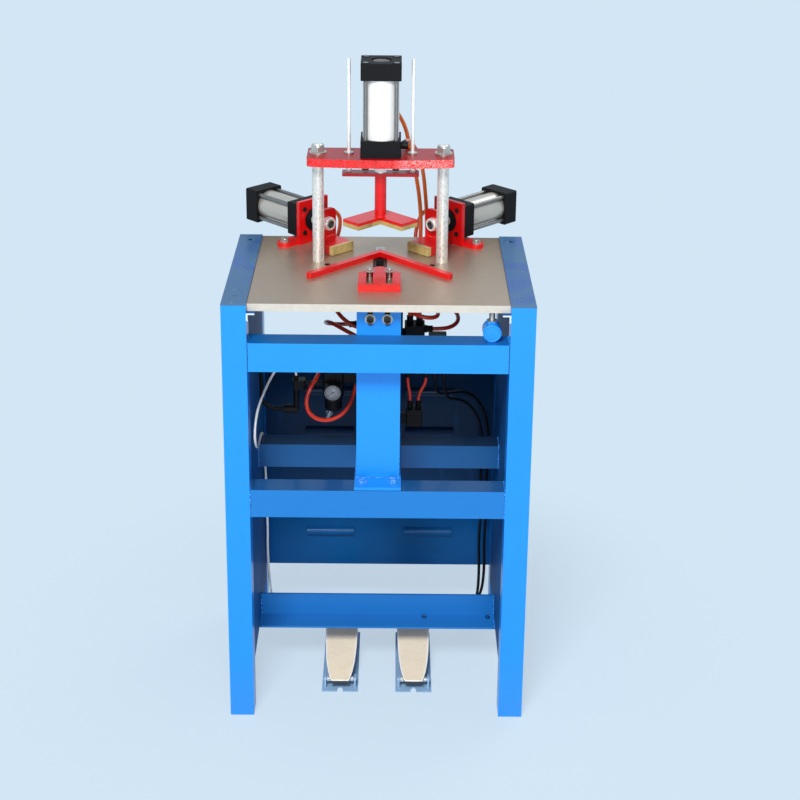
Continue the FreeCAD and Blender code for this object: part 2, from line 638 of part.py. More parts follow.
def air_cylinder(size, tube_length, gland_length, front_port):
    """Square-capped cylinder along +Z, front cap at z = 0; the rear cap's port faces +Y."""
    square, spacing, tube_radius, bore_radius = size
    half = square / 2
    spots = corners(spacing)
    rear_z = CAP_THICK + tube_length
    caps = []
    for z0 in (0, rear_z):
        cap = block(-half, half, -half, half, z0, z0 + CAP_THICK)
        cap = cap.makeChamfer(2.0, upright_edges(cap))
        cuts = [round_bar(TIE_RADIUS, CAP_THICK, V(x, y, z0)) for x, y in spots]
        port = V(0, 1, 0) if z0 else front_port
        mouth = port * (half - PORT_DEPTH) + V(0, 0, z0 + CAP_THICK / 2)
        cuts.append(round_bar(PORT_RADIUS, PORT_DEPTH, mouth, port))
        if z0:
            cuts.append(round_bar(half / 2, CAP_RECESS, V(0, 0, z0 + CAP_THICK - CAP_RECESS)))
        else:
            cuts.append(round_bar(ROD_RADIUS + RUNNING, CAP_THICK, V(0, 0, 0)))
        caps.append(cap.cut(cuts))
    gland = round_bar(GLAND_RADIUS, gland_length, V(0, 0, 0), V(0, 0, -1))
    gland = gland.cut(round_bar(ROD_RADIUS + RUNNING, gland_length, V(0, 0, 0), V(0, 0, -1)))
    caps[0] = caps[0].fuse(gland).removeSplitter()
    tube = round_bar(tube_radius, tube_length, V(0, 0, CAP_THICK))
    tube = tube.cut(round_bar(bore_radius, tube_length, V(0, 0, CAP_THICK)))
    ties = []
    for x, y in spots:
        tie = round_bar(TIE_RADIUS, rear_z + CAP_THICK, V(x, y, 0))
        nut = hexagon(TIE_NUT_AF, TIE_NUT_HEIGHT, V(x, y, rear_z + CAP_THICK))
        ties.append(tie.fuse(nut))
    return caps, [tube], ties


def piston_rod(bore_radius, tube_length, reach, thread):
    """Piston drawn at the rear end of its tube; reach is from the front cap to the rod's shoulder."""
    top = CAP_THICK + tube_length - SEAT
    piston = round_bar(bore_radius - RUNNING, PISTON_THICK, V(0, 0, top - PISTON_THICK))
    rod = round_bar(ROD_RADIUS, top + reach, V(0, 0, -reach))
    return piston.fuse([rod, round_bar(POST_THREAD, thread, V(0, 0, -reach), V(0, 0, -1))])


# ---------------------------------------------------------------- press pieces
def top_plate():
    """Cross plate with a bowed front edge, bored for posts, guides and the cylinder's gland."""
    half = TOP_PLATE_WIDTH / 2
    front = PRESS_Y - TOP_PLATE_FRONT
    back = PRESS_Y + TOP_PLATE_BACK
    arc = Part.Arc(V(-half, front + TOP_PLATE_BOW, PLATE_BOTTOM), V(0, front, PLATE_BOTTOM),
                   V(half, front + TOP_PLATE_BOW, PLATE_BOTTOM)).toShape()
    rest = Part.makePolygon([V(half, front + TOP_PLATE_BOW, PLATE_BOTTOM), V(half, back, PLATE_BOTTOM),
                             V(-half, back, PLATE_BOTTOM), V(-half, front + TOP_PLATE_BOW, PLATE_BOTTOM)])
    plate = Part.Face(Part.Wire([arc] + rest.Edges)).extrude(V(0, 0, TOP_PLATE_THICK))
    plate = plate.makeFillet(TOP_PLATE_CORNER, upright_edges(plate))
    holes = [round_bar(POST_THREAD, TOP_PLATE_THICK, V(x, PRESS_Y, PLATE_BOTTOM)) for x in (-POST_X, POST_X)]
    holes += [round_bar(BUSH_RADIUS, TOP_PLATE_THICK, V(x, PRESS_Y, PLATE_BOTTOM)) for x in (-GUIDE_X, GUIDE_X)]
    holes.append(round_bar(GLAND_RADIUS, TOP_PLATE_THICK, V(0, PRESS_Y, PLATE_BOTTOM)))
    for x, y in corners(TIE_SPACING):
        holes.append(round_bar(TIE_RADIUS - 1, TOP_PLATE_THICK, V(x, PRESS_Y + y, PLATE_BOTTOM)))
    return plate.cut(holes)


def guide_posts():
    pieces = []
    for x in (-POST_X, POST_X):
        post = round_bar(POST_RADIUS, POST_HEIGHT, V(x, PRESS_Y, TABLE_TOP))
        thread = round_bar(POST_THREAD, TABLE_THICK + NUT_HEIGHT + 2, V(x, PRESS_Y, TABLE_TOP), V(0, 0, -1))
        stud = round_bar(POST_THREAD, TOP_PLATE_THICK + NUT_HEIGHT + 5, V(x, PRESS_Y, PLATE_BOTTOM))
        rings = [e for e in stud.Edges if len(e.Vertexes) == 1 and e.isClosed()]
        stud = stud.makeFillet(3.0, [e for e in rings if e.CenterOfMass.z > PLATE_TOP + NUT_HEIGHT])
        pieces.append(post.fuse([thread, stud]))
    return pieces


def guide_bushes():
    pieces = []
    for x in (-GUIDE_X, GUIDE_X):
        base = V(x, PRESS_Y, PLATE_BOTTOM)
        bush = round_bar(BUSH_RADIUS, TOP_PLATE_THICK, base)
        flange = round_bar(BUSH_RADIUS + 2, 2.5, base + V(0, 0, TOP_PLATE_THICK))
        hole = round_bar(GUIDE_RADIUS + RUNNING, TOP_PLATE_THICK + 2.5, base)
        pieces.append(bush.fuse(flange).cut(hole))
    return pieces


def guide_rods():
    pieces = []
    for x in (-GUIDE_X, GUIDE_X):
        rod = round_bar(GUIDE_RADIUS, GUIDE_LENGTH, V(x, PRESS_Y, YOKE_BOTTOM))
        nut = hexagon(10.0, 7.0, V(x, PRESS_Y, YOKE_TOP))
        pieces.append(rod.fuse(nut))
    return pieces


def press_head():
    """Welded head: yoke bar, round stem and V foot."""
    half = YOKE_WIDTH / 2
    deep = YOKE_DEPTH / 2
    yoke = rounded(block(-half, half, PRESS_Y - deep, PRESS_Y + deep, YOKE_BOTTOM, YOKE_TOP), 3.0)
    for x in (-GUIDE_X, GUIDE_X):
        yoke = yoke.cut(round_bar(GUIDE_RADIUS, YOKE_THICK, V(x, PRESS_Y, YOKE_BOTTOM)))
    yoke = yoke.cut(round_bar(POST_THREAD, YOKE_THICK, V(0, PRESS_Y, YOKE_BOTTOM)))
    stem = round_bar(STEM_RADIUS, YOKE_BOTTOM - FOOT_TOP, V(0, PRESS_Y, FOOT_TOP))
    weld = Part.makeCone(STEM_RADIUS + 2.5, STEM_RADIUS, 3.0, V(0, PRESS_Y, FOOT_TOP))
    foot = vee(PRESS_Y - FOOT_FORWARD, FOOT_ARM, FOOT_WIDTH, FOOT_BOTTOM, FOOT_THICK)
    return yoke.fuse([stem, weld, foot])


def press_pad():
    return vee(PRESS_Y - FOOT_FORWARD, FOOT_ARM, FOOT_WIDTH, FOOT_BOTTOM - PAD_THICK, PAD_THICK)


def press_rod():
    base = V(0, PRESS_Y, PLATE_TOP)
    shoulder = PLATE_TOP - YOKE_TOP - JAM_NUT_HEIGHT
    rod = piston_rod(BORE_RADIUS, PRESS_TUBE, shoulder, JAM_NUT_HEIGHT + YOKE_THICK)
    rod.translate(base)
    nut = hexagon(NUT_AF, JAM_NUT_HEIGHT, V(0, PRESS_Y, YOKE_TOP), POST_THREAD)
    return [rod, nut]


# ---------------------------------------------------------------- clamp pieces (left hand)
# Drawn with x along the push, y inwards along the fence and z up from the table,
# from the bottom corner of the bracket's face; clamp_place() sets them on the table.
def clamp_place(shape):
    placed = shape.copy()
    placed.rotate(V(0, 0, 0), V(0, 0, 1), -45)
    placed.translate(CLAMP_CORNER)
    return placed


def clamp_spot(x, y, z):
    turned = V((x + y) / ROOT2, (y - x) / ROOT2, z)
    return turned + CLAMP_CORNER


def both_sides(spot):
    return [spot, V(-spot.x, spot.y, spot.z)]


def ear_places():
    return both_sides(clamp_spot(-EAR_BACK, -EAR_OUT, BRACKET_THICK))


def under_bolt_places():
    """Bolts that hold the brackets from below the table."""
    return [spot for y in UNDER_BOLTS for spot in both_sides(clamp_spot(-UNDER_BOLT_BACK, y, -TABLE_THICK))]


def clamp_bracket():
    """L-shaped bracket with a large gland hole, four screw holes and a rounded ear."""
    face = block(-BRACKET_THICK, 0, 0, BRACKET_WIDTH, 0, BRACKET_HEIGHT)
    ear = slot_cutter(-EAR_BACK, 2 * EAR_RADIUS, -EAR_OUT, 0, 0, BRACKET_THICK)
    foot = block(-EAR_BACK - EAR_RADIUS, 0, 0, BRACKET_WIDTH, 0, BRACKET_THICK)
    body = face.fuse([ear, foot]).removeSplitter()
    holes = [round_bar(GLAND_RADIUS, BRACKET_THICK, V(0, BRACKET_WIDTH / 2, CLAMP_AXIS_Z), V(-1, 0, 0))]
    for y, z in clamp_screw_places():
        holes.append(round_bar(TIE_RADIUS, BRACKET_THICK, V(0, y, z), V(-1, 0, 0)))
    holes.append(round_bar(BOLT_RADIUS, BRACKET_THICK, V(-EAR_BACK, -EAR_OUT, 0)))
    for y in UNDER_BOLTS:
        holes.append(round_bar(BOLT_RADIUS, BRACKET_THICK, V(-UNDER_BOLT_BACK, y, 0)))
    return body.cut(holes)


def clamp_screw_places():
    return [(BRACKET_WIDTH / 2 + y, CLAMP_AXIS_Z + z) for y, z in corners(CLAMP_TIE_SPACING)]


def to_clamp_axis(shape):
    """Lay a cylinder drawn along +Z behind the bracket, ports inwards."""
    laid = shape.copy()
    laid.rotate(V(0, 0, 0), V(0, 1, 0), -90)
    laid.translate(V(-BRACKET_THICK, BRACKET_WIDTH / 2, CLAMP_AXIS_Z))
    return laid


def clamp_rod():
    """Piston, rod and jam nut of one clamp cylinder."""
    reach = BRACKET_THICK + JAW_FACE - JAW_THICK
    rod = piston_rod(CLAMP_BORE_RADIUS, CLAMP_TUBE, reach, JAW_THICK + JAM_NUT_HEIGHT + 2)
    nut = hexagon(NUT_AF, JAM_NUT_HEIGHT, V(0, 0, 0), POST_THREAD)
    nut = place(nut, V(JAW_FACE, BRACKET_WIDTH / 2, CLAMP_AXIS_Z), V(1, 0, 0))
    return [to_clamp_axis(rod), nut]


def clamp_jaw():
    """Upright plate on the rod with a low foot that carries the pad."""
    lift = JAW_LIFT
    back = JAW_FACE - JAW_THICK
    upright = block(back, JAW_FACE, JAW_SHIFT, JAW_SHIFT + JAW_UPRIGHT, lift, JAW_HEIGHT)
    across = [e for e in upright.Edges if abs(e.tangentAt(e.FirstParameter).x) > 0.99]
    upright = upright.makeFillet(JAW_CORNER, [e for e in across if e.CenterOfMass.z > JAW_HEIGHT - 1])
    hole = round_bar(POST_THREAD, JAW_THICK, V(back, BRACKET_WIDTH / 2, CLAMP_AXIS_Z), V(1, 0, 0))
    upright = upright.cut(hole)
    foot = block(JAW_FACE, CLAMP_REACH - JAW_PAD, 0, JAW_WIDTH, lift, JAW_FOOT_HEIGHT)
    hollow = block(JAW_FACE + 6, CLAMP_REACH - JAW_PAD - 6, 5, JAW_WIDTH - 5, lift, JAW_FOOT_HEIGHT - 5)
    return upright.fuse(foot.cut(hollow)).removeSplitter()


def clamp_pad():
    return block(CLAMP_REACH - JAW_PAD, CLAMP_REACH, 0, JAW_WIDTH, JAW_LIFT, JAW_FOOT_HEIGHT)


# ---------------------------------------------------------------- fasteners
def socket_screws():
    """Cap screws of the table, the column's slots, the clamp brackets and the top plate."""
    pieces = []
    for x, y in table_screw_places():
        screw = socket_screw(SOCKET_RADIUS, TABLE_THICK / 2, BOLT_RADIUS, TABLE_THICK / 2)
        screw.translate(V(x, y, TABLE_BOTTOM + TABLE_THICK / 2))
        pieces.append(screw)
    for x in (-COLUMN_SLOT_X, COLUMN_SLOT_X):
        washer = round_bar(WASHER_RADIUS + 0.5, WASHER, V(0, 0, 0), V(0, 0, 1))
        screw = socket_screw(SOCKET_RADIUS, 8.0, BOLT_RADIUS, COLUMN_WALL + CARRIER_PAD)
        screw = screw.fuse(washer)
        pieces.append(place(screw, V(x, COLUMN_Y, CARRIER_SCREW_Z), V(0, -1, 0)))
    for y, z in clamp_screw_places():
        screw = socket_screw(SCREW_HEAD_RADIUS, 1.5, TIE_RADIUS - 1, BRACKET_THICK)
        screw = clamp_place(place(screw, V(0, y, z), V(1, 0, 0)))
        pieces += [screw, mirrored(screw)]
    for x, y in corners(TIE_SPACING):
        screw = socket_screw(SOCKET_RADIUS, PLATE_SCREW_HEAD, TIE_RADIUS - 1, TOP_PLATE_THICK)
        pieces.append(place(screw, V(x, PRESS_Y + y, PLATE_BOTTOM), V(0, 0, -1)))
    return pieces


def hex_fasteners():
    """Hex bolts with washers, and the nuts and washers of the posts."""
    through = BRACKET_THICK + TABLE_THICK
    pieces = [hex_bolt(spot, through) for spot in ear_places()]
    pieces += [hex_bolt(spot, through, V(0, 0, -1)) for spot in under_bolt_places()]
    cover_top = TABLE_TOP + 0.2 + COVER_THICK
    for x in (-COVER_SLOT_X, COVER_SLOT_X):
        pieces.append(hex_bolt(V(x, COVER_BOLT_Y, cover_top), COVER_THICK + TABLE_THICK))
    for x, y in column_bolt_places():
        pieces.append(hex_bolt(V(x, y, COLUMN_BOTTOM), COLUMN_BASE))
    for x in (-POST_X, POST_X):
        washer = round_bar(POST_RADIUS * 1.5, 3.0, V(x, PRESS_Y, PLATE_TOP))
        nut = hexagon(NUT_AF, NUT_HEIGHT, V(x, PRESS_Y, PLATE_TOP + 3.0))
        bore = round_bar(POST_THREAD, NUT_HEIGHT + 3.0, V(x, PRESS_Y, PLATE_TOP))
        pieces.append(washer.fuse(nut).cut(bore))
        lower = hexagon(NUT_AF, NUT_HEIGHT, V(x, PRESS_Y, TABLE_BOTTOM - NUT_HEIGHT), POST_THREAD)
        pieces.append(lower)
    return pieces


# ---------------------------------------------------------------- pedals
def pedal_base(x):
    """Floor sheet with two hinge lugs, a notch in front and the pilot valve under the toe."""
    half = PEDAL_WIDTH / 2
    sheet = block(x - half, x + half, PEDAL_FRONT_Y, PEDAL_FRONT_Y + PEDAL_LENGTH, 0, PEDAL_SHEET)
    sheet = sheet.cut(slot_cutter(x, 11.0, PEDAL_FRONT_Y, PEDAL_FRONT_Y + 8.0, 0, PEDAL_SHEET))
    lugs = []
    for side in (-1, 1):
        edges = sorted((x + side * (HEEL_SPAN / 2), x + side * (HEEL_SPAN / 2 + 3.5)))
        lug = block(edges[0], edges[1], HEEL_Y - 10, HEEL_Y + 10, PEDAL_SHEET, HEEL_Z + 7)
        short = [e for e in lug.Edges if e.CenterOfMass.z > HEEL_Z + 6 and e.Length < 5]
        lugs.append(lug.makeFillet(6.0, short))
    pin = round_bar(HEEL_PIN, HEEL_SPAN + 10, V(x - HEEL_SPAN / 2 - 5, HEEL_Y, HEEL_Z), V(1, 0, 0))
    rear = PEDAL_FRONT_Y + PEDAL_LENGTH - 4
    valve = rounded(block(x - 22, x + 22, rear - 60, rear, PEDAL_SHEET, PEDAL_SHEET + VALVE_HEIGHT), 3.0)
    plunger = round_bar(5.0, 4.5, V(x, rear - 40, PEDAL_SHEET + VALVE_HEIGHT))
    return [sheet.fuse(lugs).fuse(pin), valve.fuse(plunger)]


def tread(x):
    """Tapered treadle, narrow at the heel, hinged on the heel pin."""
    rear = TREAD_REAR_WIDTH / 2
    front = TREAD_FRONT_WIDTH / 2
    start = -15.0
    outline = [V(-front, start, 0), V(front, start, 0), V(rear - 2, TREAD_LENGTH * 0.5, 0),
               V(rear, TREAD_LENGTH + start, 0), V(-rear, TREAD_LENGTH + start, 0),
               V(-rear + 2, TREAD_LENGTH * 0.5, 0)]
    right = Part.Arc(outline[1], V(rear * 0.80, TREAD_LENGTH * 0.16, 0), outline[2]).toShape()
    left = Part.Arc(outline[5], V(-rear * 0.80, TREAD_LENGTH * 0.16, 0), outline[0]).toShape()
    wire = Part.Wire([Part.makeLine(outline[0], outline[1]), right, Part.makeLine(outline[2], outline[3]),
                      Part.makeLine(outline[3], outline[4]), Part.makeLine(outline[4], outline[5]), left])
    plate = Part.Face(wire).extrude(V(0, 0, TREAD_THICK))
    plate.translate(V(0, 0, HEEL_PIN + 1))
    lug = round_bar(HEEL_PIN + 3.5, TREAD_FRONT_WIDTH, V(-front, 0, 0), V(1, 0, 0))
    lug = lug.fuse(block(-front, front, -HEEL_PIN - 3.5, HEEL_PIN + 3.5, 0, HEEL_PIN + 1.5))
    pin_hole = round_bar(HEEL_PIN + RUNNING, PEDAL_WIDTH, V(-PEDAL_WIDTH / 2, 0, 0), V(1, 0, 0))
    body = plate.fuse(lug).cut(pin_hole)
    body.rotate(V(0, 0, 0), V(1, 0, 0), TREAD_SLOPE)
    body.translate(V(x, HEEL_Y, HEEL_Z))
    return body


# ---------------------------------------------------------------- air preparation and valves
def regulator_body():
    """Filter regulator: square body, round bowl below, spindle above and a bracket to the column."""
    body = rounded(block(REG_X - REG_RADIUS, REG_X + REG_RADIUS, REG_Y - REG_RADIUS, REG_Y + REG_RADIUS,
                         REG_BOTTOM + REG_BOWL, REG_TOP), 5.0)
    bowl = round_bar(REG_RADIUS - 3, REG_BOWL, V(REG_X, REG_Y, REG_BOTTOM))
    rings = [e for e in bowl.Edges if len(e.Vertexes) == 1 and e.isClosed()]
    bowl = bowl.makeFillet(8.0, [e for e in rings if e.CenterOfMass.z < REG_BOTTOM + 1])
    spindle = round_bar(REG_SPINDLE, KNOB_HEIGHT / 2, V(REG_X, REG_Y, REG_TOP))
    bracket = block(REG_X + REG_RADIUS, -COLUMN_WIDTH / 2, COLUMN_REAR_Y - 4, COLUMN_REAR_Y,
                    REG_TOP - 36, REG_TOP - 6)
    return body.fuse([bowl, spindle, bracket])


def pressure_gauge():
    back_y = REG_Y - REG_RADIUS
    case = round_bar(GAUGE_RADIUS, GAUGE_DEPTH, V(REG_X, back_y - GAUGE_STEM, GAUGE_Z), V(0, -1, 0))
    face_y = back_y - GAUGE_STEM - GAUGE_DEPTH
    dial = round_bar(GAUGE_RADIUS - 2, 2, V(REG_X, face_y + 2, GAUGE_Z), V(0, -1, 0))
    return case.cut(dial).fuse(round_bar(5.0, GAUGE_STEM, V(REG_X, back_y, GAUGE_Z), V(0, -1, 0)))


def regulator_knob():
    base = V(REG_X, REG_Y, REG_TOP + SEAT)
    knob = round_bar(KNOB_RADIUS, KNOB_HEIGHT, base)
    cuts = [round_bar(REG_SPINDLE + RUNNING, KNOB_HEIGHT / 2 + SEAT, base)]
    for i in range(12):
        angle = math.radians(30 * i)
        spot = base + V((KNOB_RADIUS + 1) * math.cos(angle), (KNOB_RADIUS + 1) * math.sin(angle), 0)
        cuts.append(round_bar(2.4, KNOB_HEIGHT - 4, spot))
    return knob.cut(cuts)


def valve_block():
    """Manifold with two valves above it and a pilot block below, all on the column's side."""
    rear = VALVE_Y + VALVE_DEPTH
    top = VALVE_Z + MANIFOLD_HEIGHT
    manifold = block(VALVE_X, VALVE_X + MANIFOLD_WIDTH, VALVE_Y, rear, VALVE_Z, top)
    tall = rounded(block(VALVE_X, VALVE_X + 38, VALVE_Y, rear, top, TALL_VALVE_TOP), 3.0)
    low = rounded(block(VALVE_X + 46, VALVE_X + 80, VALVE_Y, rear, top, LOW_VALVE_TOP), 3.0)
    hanger = block(COLUMN_WIDTH / 2, VALVE_X, VALVE_Y, COLUMN_REAR_Y, VALVE_Z, VALVE_Z + 70)
    pilot = rounded(block(VALVE_X + 4, VALVE_X + 36, VALVE_Y, VALVE_Y + 30, PILOT_TOP - 34, PILOT_TOP), 3.0)
    pilot_hanger = block(COLUMN_WIDTH / 2, VALVE_X + 4, VALVE_Y, COLUMN_REAR_Y, PILOT_TOP - 28, PILOT_TOP - 6)
    return [manifold.fuse([tall, low, hanger]), pilot.fuse(pilot_hanger)]


def fitting(base, direction, hose_radius=HOSE_RADIUS):
    """Push-in fitting: hexagonal foot and round collar; base is its seat."""
    foot = hexagon(2 * FITTING_RADIUS - 1, FITTING_LENGTH * 0.4, V(0, 0, 0))
    collar = round_bar(hose_radius + 2.2, FITTING_LENGTH * 0.6, V(0, 0, FITTING_LENGTH * 0.4))
    return place(foot.fuse(collar), base, direction)


def elbow(base, outward, arm):
    """Right-angled push-in fitting: a stub out of the port and an arm across it."""
    stub = round_bar(FITTING_RADIUS, FITTING_LENGTH, base, outward)
    knee = base + outward * (FITTING_LENGTH - FITTING_RADIUS)
    return stub.fuse(round_bar(FITTING_RADIUS - 0.5, FITTING_LENGTH, knee, arm))


# ---------------------------------------------------------------- hoses
def hose(points, radius, name):
    """Tube along straight runs joined by tangent arcs, as large as the runs allow."""
    points = [V(*p) for p in points]
    edges = []
    start = points[0]
    radii = []
    for before, corner, after in zip(points, points[1:], points[2:]):
        first = corner - before
        second = after - corner
        turn = first.getAngle(second)
        shorter = min(first.Length, second.Length)
        trim = 0.45 * shorter
        radii.append(trim / math.tan(turn / 2))
        into = corner - first.normalize() * trim
        out = corner + second.normalize() * trim
        bisector = (into + out) * 0.5 - corner
        depth = radii[-1] / math.cos(turn / 2) - radii[-1]
        middle = corner + bisector.normalize() * depth
        edges.append(Part.LineSegment(start, into).toShape())
        edges.append(Part.Arc(into, middle, out).toShape())
        start = out
    edges.append(Part.LineSegment(start, points[-1]).toShape())
    path = Part.Wire(edges)
    heading = points[1] - points[0]
    ring = Part.Wire(Part.Circle(points[0], heading, radius).toShape())
    tube = path.makePipeShell([ring], True, False)
    ratio = tube.Volume / (math.pi * radius ** 2 * path.Length)
    print("%-20s length %5.0f  volume ratio %.4f  radii" % (name, path.Length, ratio), *map(round, radii))
    return tube


def silencer(base, direction):
    """Small sintered silencer on the unused port of a clamp cylinder."""
    foot = hexagon(11.0, 4.0, V(0, 0, 0))
    nose = round_bar(4.5, 7.0, V(0, 0, 4.0))
    tip = [e for e in nose.Edges if e.CenterOfMass.z > 10.9 and len(e.Vertexes) == 1]
    return place(foot.fuse(nose.makeFillet(3.0, tip)), base, direction)


def air_fittings():
    """Push-in fittings at every hose end, silencers, and the inlet tee with its coupling."""
    right = V(1, 0, 0)
    back = V(0, 1, 0)
    up = V(0, 0, 1)
    rear_cap_z = PLATE_TOP + CAP_THICK * 1.5 + PRESS_TUBE
    pieces = [elbow(V(0, PRESS_Y + CAP / 2, rear_cap_z), back, -up)]
    pieces.append(elbow(V(CAP / 2, PRESS_Y, PLATE_TOP + CAP_THICK / 2), right, back))
    inward = clamp_spot(0, 1, 0) - clamp_spot(0, 0, 0)
    front_port = fitting(clamp_spot(-BRACKET_THICK - CAP_THICK / 2, CLAMP_INNER, CLAMP_AXIS_Z), inward)
    rear_k = -BRACKET_THICK - CAP_THICK * 1.5 - CLAMP_TUBE
    quiet = silencer(clamp_spot(rear_k, CLAMP_INNER, CLAMP_AXIS_Z), inward)
    pieces += [front_port, mirrored(front_port), quiet, mirrored(quiet)]
    valve_mid = VALVE_Y + VALVE_DEPTH / 2
    pieces.append(fitting(V(VALVE_X + 10, valve_mid, TALL_VALVE_TOP), up))
    pieces.append(fitting(V(VALVE_X + 28, valve_mid, TALL_VALVE_TOP), up))
    pieces.append(fitting(V(VALVE_X + 38, valve_mid, TALL_VALVE_TOP - 11), right))
    for z in (VALVE_Z + MANIFOLD_HEIGHT / 2, TALL_VALVE_TOP - 45, TALL_VALVE_TOP - 20):
        pieces.append(fitting(V(VALVE_X, valve_mid + 6, z), -right))
    for i in range(5):
        seat = V(VALVE_X + 7 + i * MANIFOLD_PITCH, valve_mid, VALVE_Z)
        pieces.append(silencer(seat, -up) if i == 1 else fitting(seat, -up, THIN_HOSE_RADIUS))
    for x in (VALVE_X + 12, VALVE_X + 28):
        pieces.append(fitting(V(x, VALVE_Y + 15, PILOT_TOP), up, THIN_HOSE_RADIUS))
    pieces.append(fitting(V(-DRIVER_BODY / 2, NOSE_Y, CARRIER_BOTTOM - 50), -right))
    for x in (-PEDAL_X, PEDAL_X):
        pieces.append(fitting(V(x, PEDAL_FRONT_Y + PEDAL_LENGTH - 4, 15.0), back, THIN_HOSE_RADIUS))
    pieces.append(elbow(V(REG_X - REG_RADIUS, REG_Y, REG_TOP - 12), -right, -back))
    pieces.append(elbow(V(-INNER_X, REG_Y, REG_TOP + 20), right, -up))
    pieces.append(inlet_tee())
    pin = round_bar(5.0, 12.0, V(0, 0, 0))
    pin = pin.fuse([round_bar(6.5, 3.0, V(0, 0, 12.0)), round_bar(4.0, 16.0, V(0, 0, 15.0))])
    pin = place(pin, V(REG_X - 4, REG_Y, REG_BOTTOM + 4), V(-0.35, 0, -1))
    pieces.append(pin.cut(regulator_body()))
    return pieces


def inlet_tee():
    """Nipple from the regulator to a small block, with the coupling of the inlet hose under it."""
    side = REG_X - REG_RADIUS
    nipple = round_bar(5.0, 34.0, V(side, REG_Y, GAUGE_Z), V(-1, 0, 0))
    tee = rounded(block(side - 58, side - 34, REG_Y - 10, REG_Y + 10, GAUGE_Z - 11, GAUGE_Z + 9), 3.0)
    drop = round_bar(6.0, COUPLING_DROP - 11, V(side - 52, REG_Y, GAUGE_Z - COUPLING_DROP))
    coupling = round_bar(9.0, 26.0, V(side - 76, REG_Y, GAUGE_Z - COUPLING_DROP), V(1, 0, 0))
    stub = round_bar(DRAIN_RADIUS + 2, 8.0, V(side - 52, REG_Y, GAUGE_Z + 9))
    return nipple.fuse([tee, drop, coupling, stub])


# ---------------------------------------------------------------- routes of the hoses
PRESS_HOSE_UPPER = ((0, 292.5, 1203), (0, 292.5, 1170), (12, 299, 1141), (34, 310, 1114), (47, 324, 1084),
                    (53, 341, 1052), (58, 361, 1018), (66, 385, 984), (73, 404, 944), (78, 413, 902),
                    (80, 416, 862), (79, 413, 824), (82, 396, 790), (86, 362, 770), (90, 322, 769),
                    (90, 280, 780), (87, 246, 797), (82, 216, 797), (76, 198, 776), (76, 198, 749))
PRESS_HOSE_LOWER = ((44.5, 262, 1071), (44.5, 284, 1071), (56, 308, 1063), (69, 330, 1038), (78, 360, 1006),
                    (84, 392, 968), (88, 411, 926), (91, 419, 886), (92, 421, 846), (94, 415, 808),
                    (100, 394, 774), (107, 358, 754), (117, 318, 744), (134, 285, 741), (149, 255, 736),
                    (152, 229, 730), (142, 210, 726), (124, 198, 724), (100, 198, 724))
LEFT_CLAMP_HOSE = ((-115.581, 415.251, 888.5), (-98.581, 432.251, 888.5), (-82, 443, 870), (-83, 441, 842),
                   (-93, 433, 812), (-99, 413, 784), (-99, 378, 768), (-98, 330, 763), (-98, 285, 765),
                   (-92, 246, 757), (-76, 219, 740), (-49, 207, 723), (-8, 204, 715), (34, 204, 715))
RIGHT_CLAMP_HOSE = ((115.581, 415.251, 888.5), (98.581, 432.251, 888.5), (83, 446, 878), (74, 451, 855),
                    (69, 445, 828), (72, 432, 802), (76, 410, 778), (77, 376, 756), (84, 332, 746),
                    (96, 286, 750), (106, 238, 760), (110, 190, 767), (110, 144, 768), (82, 128, 773),
                    (54, 144, 780), (54, 175, 786), (56.5, 189, 779.5), (58, 198, 766), (58, 198, 749))
SUPPLY_HOSE = ((34, 204, 690), (-6, 204, 690), (-40, 210, 700), (-68, 220, 712), (-91, 236, 719),
               (-103, 258, 714), (-106.5, 279, 703), (-99, 295, 695), (-82, 305.15, 690), (-59, 305.15, 690))
REGULATOR_HOSE = ((-115, 191, 640), (-115, 163, 640), (-128, 144, 628), (-138, 138, 602), (-134, 140, 574),
                  (-116, 146, 556), (-90, 154, 552), (-66, 163, 562), (-50, 180, 584), (-43, 206, 610),
                  (-24, 218, 636), (6, 204, 652), (34, 204, 652))
DRAIN_TUBE = ((-160, 205, 623), (-160, 205, 636), (-170, 202, 651), (-188, 190, 652), (-203, 166, 640),
              (-216, 132, 620), (-226, 96, 600), (-229, 66, 576), (-229, 62, 548), (-228, 88, 524),
              (-229, 138, 505), (-230, 192, 499), (-230, 240, 487), (-229, 272, 452), (-230, 288, 408),
              (-229, 298, 354), (-230, 305, 298), (-228, 311, 242), (-230, 316, 186), (-228, 322, 130),
              (-226, 330, 78), (-220, 340, 34))
INLET_HOSE = ((-228, 205, 658), (-228, 205, 632), (-226.5, 205, 601), (-228, 205, 570), (-210, 205, 552),
              (-184, 205, 552))
MANIFOLD_HOSE_LEFT = ((55, 198, 626), (55, 198, 611), (60, 195, 591), (60, 195, 576))
MANIFOLD_HOSE_RIGHT = ((90, 198, 626), (90, 198, 611), (76, 195, 591), (76, 195, 576))
PEDAL_HOSE_LEFT = ((-72.5, 304, 15), (-72.5, 328, 15), (-52, 350, 8), (-12, 358, 4), (42, 361, 5), (100, 360, 4),
                   (154, 361, 6), (196, 359, 22), (218, 355, 60), (223, 352, 118), (220, 351, 190),
                   (224, 352, 262), (221, 351, 334), (224, 351, 404), (219, 345, 468), (200, 322, 524),
                   (168, 282, 560), (134, 238, 574), (107.5, 198, 590), (107.5, 198, 626))
PEDAL_HOSE_RIGHT = ((72.5, 304, 15), (72.5, 326, 15), (92, 340, 7), (128, 342, 4), (168, 340, 8), (196, 336, 28),
                    (209, 333, 68), (211, 334, 130), (208, 332, 202), (212, 334, 274), (208, 332, 346),
                    (211, 332, 414), (204, 322, 474), (184, 294, 522), (158, 252, 556), (125, 198, 580),
                    (125, 198, 626))


# ---------------------------------------------------------------- everything is built and written here
os.makedirs("parts", exist_ok=True)

